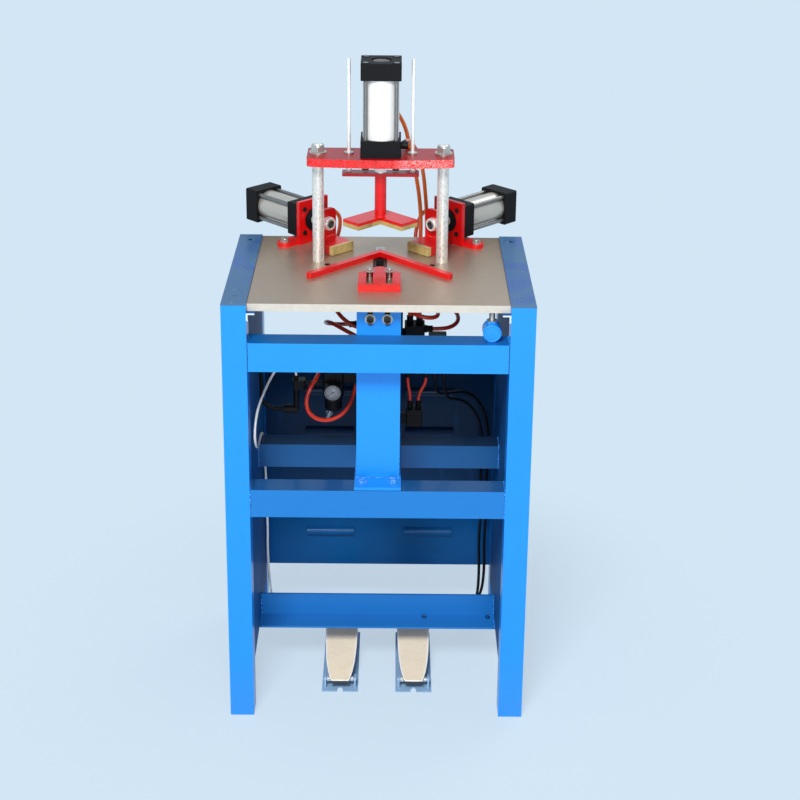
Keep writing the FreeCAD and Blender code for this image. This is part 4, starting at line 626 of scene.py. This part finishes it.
# --- geometry node trees ---
class Tree(Graph):
    """A geometry node tree that takes a mesh, named values and a material."""

    def __init__(self, name, **values):
        super().__init__(bpy.data.node_groups.new(name, "GeometryNodeTree"))
        self.keys = {}
        for key, kind in {"Geometry": "Geometry", **values, "Material": "Material"}.items():
            self.keys[key] = self.socket(key, kind, "INPUT").identifier
        self.socket("Geometry", "Geometry", "OUTPUT")
        self.entry = self.tree.nodes.new("NodeGroupInput")
        self.leave = self.tree.nodes.new("NodeGroupOutput")

    def socket(self, name, kind, way):
        interface = self.tree.interface
        return interface.new_socket(name, in_out=way, socket_type="NodeSocket" + kind)

    def given(self, name):
        return Field(self, self.entry.outputs[name])

    def axis_turn(self):
        """Rotation that lays Z along each point's own axis."""
        axis = self.node("GeometryNodeInputNamedAttribute", {"Name": "axis"},
                         data_type="FLOAT_VECTOR")
        return self.node("FunctionNodeAlignRotationToVector", {"Vector": axis}, axis="Z")

    def close(self, points, instance, smooth=True, **inputs):
        """Ends the tree with real, painted copies of an instance on points."""
        inputs.update(Points=points, Instance=instance)
        copies = self.node("GeometryNodeInstanceOnPoints", inputs)
        real = self.node("GeometryNodeRealizeInstances", {0: copies})
        soft = self.node("GeometryNodeSetShadeSmooth", {0: real, "Shade Smooth": smooth})
        inputs = {"Geometry": soft, "Material": self.given("Material")}
        self.join(self.leave.inputs[0], self.node("GeometryNodeSetMaterial", inputs))
        return self

    def grow(self, name, mesh, **values):
        """Runs the tree on a mesh and shows the finished mesh as a new object."""
        source = shown(name + "_source", mesh)
        modifier = source.modifiers.new("tree", "NODES")
        modifier.node_group = self.tree
        for key, value in values.items():
            modifier[self.keys[key]] = value
        return shown(name, finished_mesh(source))


def weld_tree():
    """Overlapping drops of uneven size along each edge of a mesh."""
    tree = Tree("weld_bead", Radius="Float", Spacing="Float", Seed="Int")
    path = tree.node("GeometryNodeMeshToCurve", {"Mesh": tree.given("Geometry")})
    inputs = {"Curve": path, "Length": tree.given("Spacing")}
    path = tree.node("GeometryNodeResampleCurve", inputs, mode="LENGTH")
    inputs = {"Radius": tree.given("Radius"), "Subdivisions": 2}
    drop = tree.node("GeometryNodeMeshIcoSphere", inputs)
    inputs = {0: (0.75, 0.75, 0.75), 1: (1.25, 1.25, 1.25), "Seed": tree.given("Seed")}
    sizes = tree.node("FunctionNodeRandomValue", inputs, data_type="FLOAT_VECTOR")
    points = tree.node("GeometryNodeCurveToPoints", {"Curve": path}, mode="EVALUATED")
    return tree.close(points, drop, Scale=sizes)


def copies_tree():
    """A pattern piece on every point, its Z axis along the point's own axis."""
    tree = Tree("copies", Pattern="Object")
    pattern = tree.node("GeometryNodeObjectInfo", {0: tree.given("Pattern")}, "Geometry")
    return tree.close(tree.given("Geometry"), pattern, Rotation=tree.axis_turn())


def coil_tree():
    """A wound wire on every point, its axis along the point's own axis."""
    tree = Tree("coil", Radius="Float", Wire="Float", Length="Float", Turns="Int")
    radius = tree.given("Radius")
    inputs = {"Resolution": 14, "Rotations": tree.given("Turns"), "Start Radius": radius,
              "End Radius": radius, "Height": tree.given("Length")}
    line = tree.node("GeometryNodeCurveSpiral", inputs)
    inputs = {"Resolution": 6, "Radius": tree.given("Wire")}
    ring = tree.node("GeometryNodeCurvePrimitiveCircle", inputs)
    inputs = {"Curve": line, "Profile Curve": ring, "Fill Caps": True}
    wire = tree.node("GeometryNodeCurveToMesh", inputs)
    return tree.close(tree.given("Geometry"), wire, Rotation=tree.axis_turn())


def dial_tree():
    """Radial scale marks, every fifth one twice as long."""
    tree = Tree("dial_marks", Radius="Float", Count="Int")
    inputs = {"Vertices": tree.given("Count"), "Radius": tree.given("Radius")}
    ring = tree.node("GeometryNodeMeshCircle", inputs)
    inputs = {"Vector": tree.node("GeometryNodeInputPosition")}
    turn = tree.node("FunctionNodeAlignRotationToVector", inputs, axis="X")
    fifth = tree.node("GeometryNodeInputIndex").maths("MODULO", 5.0).maths("LESS_THAN", 0.5)
    size = tree.node("ShaderNodeCombineXYZ", {0: fifth + 1.0, 1: 1.0, 2: 1.0})
    mark = tree.node("GeometryNodeMeshCube", {"Size": (0.0016, 0.0004, 0.0003)})
    return tree.close(ring, mark, smooth=False, Rotation=turn, Scale=size)


# --- properties ---
def colour_property(name, description, *values):
    return bpy.props.FloatVectorProperty(name=name, description=description, subtype="COLOR",
                                         size=4, min=0.0, max=1.0, default=rgb(*values))


def length_property(name, description, millimetres):
    return bpy.props.FloatProperty(name=name, description=description, unit="LENGTH",
                                   default=millimetres * MM)


class UnderpinnerColours(bpy.types.PropertyGroup):
    """Colours of the painted, moulded and extruded pieces."""
    cabinet: colour_property("Cabinet", "Enamel of the cabinet", 24, 145, 240)
    tooling: colour_property("Tooling", "Enamel of press, clamps and fence", 218, 14, 16)
    table: colour_property("Table", "Ground steel of the table", 176, 157, 138)
    table_edge: colour_property("Table edge", "Bright front edge", 214, 208, 196)
    hose: colour_property("Hoses", "Air hoses", 232, 60, 28)
    tread: colour_property("Treads", "Pedal treads", 253, 236, 205)
    room: colour_property("Room", "Floor and background", 211, 230, 245)


class UnderpinnerSizes(bpy.types.PropertyGroup):
    """Sizes that only the looks use."""
    hose_radius: length_property("Hose radius", "Half the diameter of the main hoses", 4)
    thin_hose_radius: length_property("Thin hose radius", "Half the diameter of pilot hoses", 3)
    drain_radius: length_property("Drain radius", "Half the diameter of the drain tube", 2.5)
    weld_radius: length_property("Weld radius", "Half the width of a weld bead", 1.5)
    rim_radius: length_property("Rim radius", "Half the thickness of a tread's rim", 1.6)


def picked(name):
    """One of the colours above, as the panel has it."""
    return tuple(getattr(bpy.context.scene.underpinner_colours, name))


# --- operators ---
def paint(material, *nodes):
    """Puts one material on the whole of these CAD nodes."""
    for node in nodes:
        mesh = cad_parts[node].data
        mesh.materials.clear()
        mesh.materials.append(material)


def paint_part(material, node, low, high):
    """Puts a material on the faces of a CAD node whose middles lie between two corners."""
    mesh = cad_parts[node].data
    mesh.materials.append(material)
    low, high = at(*low), at(*high)
    for face in mesh.polygons:
        if all(a <= c <= b for a, c, b in zip(low, face.center, high)):
            face.material_index = len(mesh.materials) - 1


class PaintCadPieces(bpy.types.Operator):
    """Makes the finishes and paints the pieces that keep their CAD shape"""
    bl_idname = "underpinner.paint"
    bl_label = "Paint CAD pieces"

    def execute(self, context):
        self.paint_cabinet(picked("cabinet"))
        self.paint_tooling(picked("tooling"))
        self.paint_metal()
        return {"FINISHED"}

    def paint_cabinet(self, blue):
        paint(cabinet_enamel(blue), "legs", "driver_column", "table_jack")
        # inside darkens the sides' inner faces as painted shade.
        paint(cabinet_enamel(blue, "side_enamel", inside=0.80), "side_panels")
        # The strips' grey-blue is painted shade and sheen on faces that look up, in place of the
        # cabinet blue.
        paint(strip_enamel(rgb(66, 108, 150), rgb(16, 78, 158)), "top_strips")
        paint(inner_enamel(blue), "back_panel")
        paint(rubbed_enamel("handled_enamel", blue, 0.06, 0.30, 0.61), "cabinet_screws")
        # Beams deeper in the cabinet get darker copies of the blue, and their tops are darkened:
        # painted shade under the table and the upper beam.
        for node, name, tone, seam, top in (
                ("upper_front_beam", "upper_beam_enamel", 1.0, BEAM_END, 0.60),
                ("middle_front_beam", "middle_beam_enamel", 0.66, BEAM_END, 0.65),
                ("bottom_rail", "rail_enamel", 0.62, BEAM_END, 0.0),
                ("middle_rear_beam", "rear_beam_enamel", 0.33, 0.0, 0.80)):
            paint(cabinet_enamel(shade(blue, tone), name, seam=seam, top=top), node)
        # Pale ledge ends: partly bare edge, partly painted highlight.
        pale = cabinet_enamel(rgb(206, 220, 232), "ledge_end_enamel")
        for x in (-228, 228):
            paint_part(pale, "side_panels", (x - 8, -1, 811), (x + 8, 0.5, 829))
        paint(cabinet_enamel(rgb(156, 190, 220), "pedal_enamel", 0.42), "pedal_bases")
        paint(tread_plastic(picked("tread")), "left_tread", "right_tread")

    def paint_tooling(self, red):
        paint(tool_enamel(red), "mitre_fence", "magazine_cover", "press_head",
              "left_clamp_bracket", "right_clamp_bracket", "left_jaw", "right_jaw")
        paint(flame_cut_enamel(red), "top_plate")
        paint(ground_plate(picked("table"), picked("table_edge")), "table_plate")
        paint(soft_pad(), "press_pad", "left_pad", "right_pad")
        paint(cast_black(), "cylinder_caps", "driver_cylinder")
        paint(cast_black("moulded_black", (20, 20, 22), 0.36, 700.0), "regulator_body",
              "regulator_knob", "pressure_gauge", "valve_block", "air_fittings")

    def paint_metal(self):
        paint(post_chrome(), "guide_posts")
        chrome = drawn_metal("bright_rod", rgb(246, 246, 244), 0.16, (1, 1, 0.05), 0.04, 0.4)
        paint(chrome, "guide_rods", "press_rod", "left_clamp_rod", "right_clamp_rod",
              "driver_blade")
        across = (0, math.radians(90), math.radians(45))
        paint(brushed_tube("clamp_tube", rgb(204, 197, 186), across), "cylinder_tubes")
        zinc = drawn_metal("zinc_plate", rgb(196, 194, 188), 0.20)
        paint(zinc, "hex_fasteners", "guide_bushes")
        # The tie rods' dark grey is painted shade.
        paint(drawn_metal("tie_rod_steel", rgb(134, 132, 130), 0.22), "cylinder_tie_rods")
        paint(drawn_metal("blackened_steel", rgb(62, 60, 58), 0.34), "magazine_rail",
              "magazine_pusher", "driver_carrier", "nail_nose", "socket_screws")

        white = drawn_metal("press_tube", rgb(246, 245, 244), 0.34, (1, 1, 0.02), 0.03, 0.25)
        paint_part(white, "cylinder_tubes", (-50, 200, 1080), (50, 300, 1210))
        painted_bolt = rubbed_enamel("bolt_enamel", picked("cabinet"), 0.7, 1.1, 0.53)
        paint_part(painted_bolt, "hex_fasteners", (-45, 0, 478), (45, 250, 500))
        brass = drawn_metal("brass", rgb(196, 164, 96), 0.26)
        for x in PILOT_PORTS:
            paint_part(brass, "air_fittings", (x - 8, 188, 634), (x + 8, 208, 641))
        for node, low, high in (
                ("table_jack", (195, 20, 806), (212, 40, 830)),
                ("socket_screws", (-30, 43.3, 785), (30, 45.1, 820)),
                ("nail_nose", (-10, 280, 842.5), (10, 330, 848)),
                ("air_fittings", (-120, 190, 515), (-80, 220, 553))):
            paint_part(zinc, node, low, high)


class LayWelds(bpy.types.Operator):
    """Lays the weld beads of the cabinet, the column, the jack and the jaws"""
    bl_idname = "underpinner.welds"
    bl_label = "Weld beads"

    def execute(self, context):
        radius = context.scene.underpinner_sizes.weld_radius
        tree = weld_tree()
        blue = rubbed_enamel("weld_enamel", picked("cabinet"), 0.30, 1.15, 0.60)
        red = tool_enamel(picked("tooling"))
        seams = edge_lines("cabinet_seams", cabinet_seams())
        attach(tree.grow("cabinet_welds", seams, Radius=radius, Spacing=radius * 1.5, Seed=3,
                          Material=blue), "cabinet")
        for name, side in SIDES.items():
            ends = [clamp_spot(side, 38.6, inward, 18.4) for inward in (11.0, 55.0)]
            seam = edge_lines(name + "_jaw_seam", [ends])
            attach(tree.grow(name + "_jaw_weld", seam, Radius=radius * 1.2,
                              Spacing=radius * 1.4, Seed=5, Material=red), name + "_clamp")
        return {"FINISHED"}


def cabinet_seams():
    """Ends of every seam of the cabinet."""
    lines = []
    # The ends of the three beams, by front face, bottom, top and depth, and of the rail.
    beams = ((2.0, 717, 770, 42), (2.3, 426, 479, 42), (196.2, 433, 479, 42))
    for x in (-234.4, 234.4):
        for front, low, high, depth in beams:
            lines += [((x, front, low), (x, front, high)),
                      ((x, front + 1, high + 1), (x, front + depth, high + 1))]
        lines += [((x, 202.6, 101), (x, 202.6, 145)), ((x, 159, 100.4), (x, 201, 100.4))]
    # The foot of the column, and the jack's seat on the beam.
    foot = 486.4
    lines += [((x, 46, foot), (x, 189, foot)) for x in (-40.4, 40.4)]
    lines.append(((-40, 44.6, foot), (40, 44.6, foot)))
    return lines + [((x, 15, 771.8), (x, 43, 771.8)) for x in (197.5, 208.5)]


class AddFasteners(bpy.types.Operator):
    """Adds cap bosses, end discs, rod ends, release rings, threads and hinge springs"""
    bl_idname = "underpinner.fasteners"
    bl_label = "Small fittings"

    BOSS = ((5.6, 0.0), (7.4, 0.0), (7.9, 0.3), (7.6, 0.8), (6.1, 0.9), (5.6, 0.5))
    DISC = ((0, 0), (16.2, 0), (16.2, 0.9), (14.4, 1.4), (13.6, 0.8), (6.2, 1.0), (5.4, 1.7),
            (0, 1.9))
    ROD_END = ((0, 0), (7.7, 0), (7.7, 0.9), (6.3, 1.8), (5.2, 1.7), (4.6, 0.5), (0, 0.3))
    NUT_RING = ((8.4, 0), (12.4, 0), (12.9, 0.5), (12.5, 1.8), (11.0, 2.3), (9.2, 2.0),
                (8.4, 1.2))
    HOSE_RING = ((4.5, -0.6), (6.3, -0.6), (6.6, -0.1), (6.4, 1.3), (5.6, 1.6), (4.5, 1.2))
    JACK_RIM = ((12.9, 0.4), (12.9, -0.1), (13.6, -0.9), (15.2, -1.2), (16.3, -0.5),
                (16.6, 0.4))

    def execute(self, context):
        black, moulded, zinc, chrome, enamel = (bpy.data.materials[name] for name in (
            "cast_black", "moulded_black", "zinc_plate", "bright_rod", "cabinet_enamel"))
        grey = cast_black("end_disc_grey", (104, 106, 108), 0.5, 500.0)
        # The rod ends' dark steel is painted shade of the hollow in each rod's end.
        hollow_shade = drawn_metal("rod_end_steel", rgb(84, 80, 76), 0.3)

        ends = [((0, PRESS_DEPTH, 1230), (0, 0, 1))]
        ends += [(clamp_spot(side, -163.0, *CLAMP_AXIS), clamp_push(side, -1))
                 for side in SIDES.values()]
        spread("cap_bosses", self.BOSS, cap_corners(), black, steps=24)
        spread("cap_discs", self.DISC, ends, grey)
        for name, side in SIDES.items():
            for kind, profile, along, material in (("_rod_end", self.ROD_END, 50.0, hollow_shade),
                                                   ("_nut_ring", self.NUT_RING, 48.0, chrome)):
                place = (clamp_spot(side, along, *CLAMP_AXIS), clamp_push(side))
                spread(name + kind, profile, [place], material, name + "_clamp")

        thin_ring = [(radius - 1.1, height) for radius, height in self.HOSE_RING]
        spread("release_rings", self.HOSE_RING, hose_seats(), moulded, steps=20)
        spread("thin_release_rings", thin_ring, thin_hose_seats(), moulded, steps=20)
        x, y, z = JACK_NUT
        rims = [((x, y - way * 15, z), (0, way, 0)) for way in (1, -1)]
        spread("jack_rims", self.JACK_RIM, rims, enamel, steps=48)

        tree = coil_tree()
        screw = axis_points("screw_place", [((x, y, 809), (0, 0, 1))])
        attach(tree.grow("jack_thread", screw, Radius=5.05 * MM, Wire=0.4 * MM,
                          Length=18 * MM, Turns=15, Material=zinc), "cabinet")
        pins = axis_points("spring_places", [((x + side * 18.2, *HINGE), (side, 0, 0))
                                             for x in PEDALS.values() for side in (-1, 1)])
        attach(tree.grow("hinge_springs", pins, Radius=4.4 * MM, Wire=0.75 * MM,
                          Length=8.4 * MM, Turns=5, Material=chrome), "cabinet")
        return {"FINISHED"}


def cap_corners():
    """Tie rod ends of the three cylinders, each with its direction."""
    half = 28.25
    places = [((x, PRESS_DEPTH + y, 1233), (0, 0, 1)) for x in (-half, half)
              for y in (-half, half)]
    return places + [(clamp_spot(side, -166.0, inward, rise), clamp_push(side, -1))
                     for side in SIDES.values() for inward in (13.5, 61.5)
                     for rise in (22.5, 70.5)]


def hose_seats():
    """Mouths of the fittings of the main hoses."""
    places = [((x, 198, 749), (0, 0, 1)) for x in (58, 76)] + [((100, 198, 724), (1, 0, 0))]
    left = [(34, 204, z) for z in (652, 690, 715)] + [(-59, 305.15, 690)]
    places += [(mouth, (-1, 0, 0)) for mouth in left]
    return places + [(clamp_spot(side, -24.0, 84.5, CLAMP_AXIS[1]),
                      (side * DIAGONAL, DIAGONAL, 0.0)) for side in SIDES.values()]


def thin_hose_seats():
    """Mouths of the fittings of the pilot hoses."""
    places = [((x, 198, 626), (0, 0, -1)) for x in PILOT_PORTS if x != SILENCED_PORT]
    places += [((x, 195, 576), (0, 0, 1)) for x in (60, 76)]
    return places + [((x, 304, 15), (0, 1, 0)) for x in PEDALS.values()]


class DressGauge(bpy.types.Operator):
    """Adds the gauge's dial, marks, needle, bezel and glass, and the knob's top"""
    bl_idname = "underpinner.gauge"
    bl_label = "Gauge and knob"

    DIAL = ((0, 0), (15.6, 0), (15.6, 0.3), (0, 0.35))
    BEZEL = ((15.7, 0), (17.7, 0), (18.0, 0.9), (17.4, 1.7), (16.2, 1.7), (15.7, 1.2))
    GLASS = ((0, 0), (15.6, 0), (15.6, 0.3), (0, 0.5))
    KNOB = ((0, 0), (15.5, 0), (15.5, 0.5), (13.6, 0.9), (12.8, 0.4), (4.6, 0.5), (4.0, 1.0),
            (0, 1.1))

    def execute(self, context):
        x, z = GAUGE
        black = bpy.data.materials["moulded_black"]
        for name, profile, y, material, steps in (
                ("gauge_dial", self.DIAL, 160.9, dial_face(rgb(164, 164, 160)), 32),
                ("gauge_bezel", self.BEZEL, 159.2, black, 48),
                ("gauge_glass", self.GLASS, 159.0, dial_glass(), 32)):
            spread(name, profile, [((x, y, z), (0, -1, 0))], material, steps=steps)

        upright = (Matrix.Translation(at(x, 160.5, z))
                   @ Matrix.Rotation(math.radians(90), 4, "X"))
        marks = dial_tree().grow("gauge_marks", bpy.data.meshes.new("empty"),
                                 Radius=12.2 * MM, Count=40, Material=black)
        marks.data.transform(upright)
        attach(marks, "cabinet")
        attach(shown("gauge_needle", needle_mesh(upright, black)), "cabinet")
        spread("knob_top", self.KNOB, [((x, 205, 686.3), (0, 0, 1))], black, "knob")
        return {"FINISHED"}


def needle_mesh(place, material):
    """Tapered pointer with a round hub, flat in XY before it is placed."""
    shape = bmesh.new()
    outline = ((-1.4, -4.0), (1.4, -4.0), (0.25, 11.0), (-0.25, 11.0))
    low, high = ([shape.verts.new((x * MM, y * MM, z)) for x, y in outline]
                 for z in (0.0002, 0.0005))
    sides = [(low[k - 1], low[k], high[k], high[k - 1]) for k in range(4)]
    for corners in (low[::-1], high, *sides):
        shape.faces.new(corners)
    reading = Matrix.Rotation(math.radians(125), 3, "Z")
    bmesh.ops.rotate(shape, verts=shape.verts, matrix=reading)
    bmesh.ops.create_cone(shape, cap_ends=True, segments=20, radius1=0.0022, radius2=0.0018,
                          depth=0.0012, matrix=Matrix.Translation((0, 0, 0.0006)))
    mesh = settled("gauge_needle", shape)
    mesh.transform(place)
    mesh.materials.append(material)
    return mesh


class EdgeTreads(bpy.types.Operator):
    """Runs a pale moulded rim round the top of each tread"""
    bl_idname = "underpinner.treads"
    bl_label = "Tread rims"

    def execute(self, context):
        radius = context.scene.underpinner_sizes.rim_radius
        pale = tube_plastic("tread_rim", rgb(255, 251, 240), 0.42, 0.05)
        for body, x in PEDALS.items():
            line, spline = tube_curve(body + "_rim", "POLY", tread_outline(x), radius, 2)
            spline.use_cyclic_u = True
            mesh = finished_mesh(line)
            mesh.materials.clear()
            mesh.materials.append(pale)
            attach(shown(body + "_rim", mesh), body)
        return {"FINISHED"}


def tread_outline(x):
    """Corners of a tread's top edge, on its slope, a little inside its outline."""
    half = [(16.2, -14.2), (19.6, -4.0), (22.7, 9.0), (25.1, 24.0), (27.0, 39.0),
            (28.6, 58.0), (29.7, 79.0), (31.6, 141.0), (30.6, 142.2)]
    outline = half + [(-across, along) for across, along in reversed(half)]
    slope = math.radians(TREAD_SLOPE)
    rise = 11.0
    return [(x + across, HINGE[0] + along * math.cos(slope) - rise * math.sin(slope),
             HINGE[1] + along * math.sin(slope) + rise * math.cos(slope))
            for across, along in outline]


class RunHoses(bpy.types.Operator):
    """Runs the air hoses and the drain tube"""
    bl_idname = "underpinner.hoses"
    bl_label = "Air hoses"

    def execute(self, context):
        sizes = context.scene.underpinner_sizes
        # The hose colour below the table is painted shade; the orange above it is painted light.
        orange = tube_plastic("hose_orange", picked("hose"), lit_colour=rgb(252, 126, 40))
        black = cast_black("hose_black", (14, 14, 16), 0.34, 600.0)
        white = tube_plastic("drain_white", rgb(250, 250, 244), 0.3, 0.06)
        kinds = {"inlet_hose": (black, sizes.hose_radius),
                 "drain_tube": (white, sizes.drain_radius)}
        for side in SIDES:
            kinds["manifold_hose_" + side] = (orange, sizes.thin_hose_radius)
            kinds["pedal_hose_" + side] = (black, sizes.thin_hose_radius)
        for node, route in HOSE_ROUTES.items():
            material, radius = kinds.get(node, (orange, sizes.hose_radius))
            piece = hose_curve(node + "_line", route, radius, material)
            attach(piece, "cabinet")
            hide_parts(node)
            at(*route[0])
            curve_length(piece)
        return {"FINISHED"}


# --- stage ---
def aim_camera(lens_pixels, centre_row, place, pitch, yaw, roll):
    """Camera with its axis above the middle of a square picture; angles in degrees."""
    picture = 800.0
    data = bpy.data.cameras.new("camera")
    data.sensor_width = 36.0
    data.lens = data.sensor_width * lens_pixels / picture
    data.shift_y = (centre_row - picture / 2) / picture
    turn = Matrix.Identity(4)
    for angle, axis in ((-yaw, "Z"), (90.0 - pitch, "X"), (roll, "Z")):
        turn @= Matrix.Rotation(math.radians(angle), 4, axis)
    camera = shown("camera", data)
    camera.matrix_world = Matrix.Translation(place) @ turn
    bpy.context.scene.camera = camera


def lamp(name, place, target, size, power):
    """Square area lamp that points at a target, in metres and watts."""
    data = bpy.data.lights.new(name, "AREA")
    data.size = size
    data.energy = power
    piece = shown(name, data)
    piece.location = place
    aim = Vector(target) - Vector(place)
    piece.rotation_euler = aim.to_track_quat("-Z", "Y").to_euler()


def room_paint(colour, radius):
    """Pale floor with the shadow near the feet, which fades into the backdrop."""
    made = Finish("room_paint", colour)
    flat = made.node("ShaderNodeEmission", {"Color": colour, "Strength": 1.0})
    away = made.node("ShaderNodeVectorMath", {0: made.place()}, "Value", operation="LENGTH")
    far = (away.step(radius * 0.35, radius) * 0.30 + 0.70) * made.seen_directly()
    inputs = {0: far, 1: Field(made, made.shader.outputs[0]), 2: flat}
    made.join(made.surface, made.node("ShaderNodeMixShader", inputs))
    return made.done(0.9, specular=0.0)


def studio_world(colour, strength):
    """Even white light, with the backdrop's colour where it is looked at or mirrored."""
    world = bpy.data.worlds.new("studio")
    world.use_nodes = True
    world.node_tree.nodes.clear()
    made = Graph(world.node_tree)
    light, backdrop = (
        made.node("ShaderNodeBackground", {"Color": tint, "Strength": power})
        for tint, power in (((1.0, 1.0, 1.0, 1.0), strength), (colour, 1.0)))
    inputs = {0: made.seen_directly(), 1: light, 2: backdrop}
    surface = made.tree.nodes.new("ShaderNodeOutputWorld").inputs[0]
    made.join(surface, made.node("ShaderNodeMixShader", inputs))
    return world


class SetStage(bpy.types.Operator):
    """Sets the floor, the lights, the world and the camera"""
    bl_idname = "underpinner.stage"
    bl_label = "Stage"

    def execute(self, context):
        room = picked("room")
        shape = bmesh.new()
        bmesh.ops.create_grid(shape, x_segments=1, y_segments=1, size=14.0)
        floor = shown("floor", settled("floor", shape))
        floor.data.materials.append(room_paint(room, 0.9))
        context.scene.world = studio_world(room, 0.24)
        lamp("key", (-0.6, -2.75, 3.35), (0, 0, 0.6), 1.1, 130.0)
        lamp("fill", (0.4, -3.9, 1.3), (0, 0, 0.5), 1.6, 38.0)
        lamp("rim", (1.6, 1.6, 2.6), (0, 0, 1.0), 1.4, 22.0)
        aim_camera(lens_pixels=1656.99, centre_row=244.448, place=at(23.507, -2738.71, 1880.78),
                   pitch=18.597, yaw=0.27185, roll=0.6023)
        context.scene.view_settings.view_transform = "Standard"
        return {"FINISHED"}


class UnderpinnerPanel(bpy.types.Panel):
    """Lists the steps that dress the machine"""
    bl_idname = "VIEW3D_PT_underpinner"
    bl_label = "Underpinner"
    bl_space_type = "VIEW_3D"
    bl_region_type = "UI"
    bl_category = "Underpinner"

    def draw(self, context):
        for group in (context.scene.underpinner_colours, context.scene.underpinner_sizes):
            for key in group.bl_rna.properties.keys():
                if key not in ("rna_type", "name"):
                    self.layout.prop(group, key)
        for step in STEPS:
            self.layout.operator(step.bl_idname)


STEPS = (PaintCadPieces, LayWelds, AddFasteners, DressGauge, EdgeTreads, RunHoses, SetStage)
CLASSES = (UnderpinnerColours, UnderpinnerSizes) + STEPS + (UnderpinnerPanel,)


def register():
    for cls in CLASSES:
        bpy.utils.register_class(cls)
    bpy.types.Scene.underpinner_colours = bpy.props.PointerProperty(type=UnderpinnerColours)
    bpy.types.Scene.underpinner_sizes = bpy.props.PointerProperty(type=UnderpinnerSizes)


def unregister():
    del bpy.types.Scene.underpinner_sizes
    del bpy.types.Scene.underpinner_colours
    for cls in reversed(CLASSES):
        bpy.utils.unregister_class(cls)


def main():
    register()
    for step in STEPS:
        family, name = step.bl_idname.split(".")
        getattr(getattr(bpy.ops, family), name)()


if __name__ == "__main__":
    main()
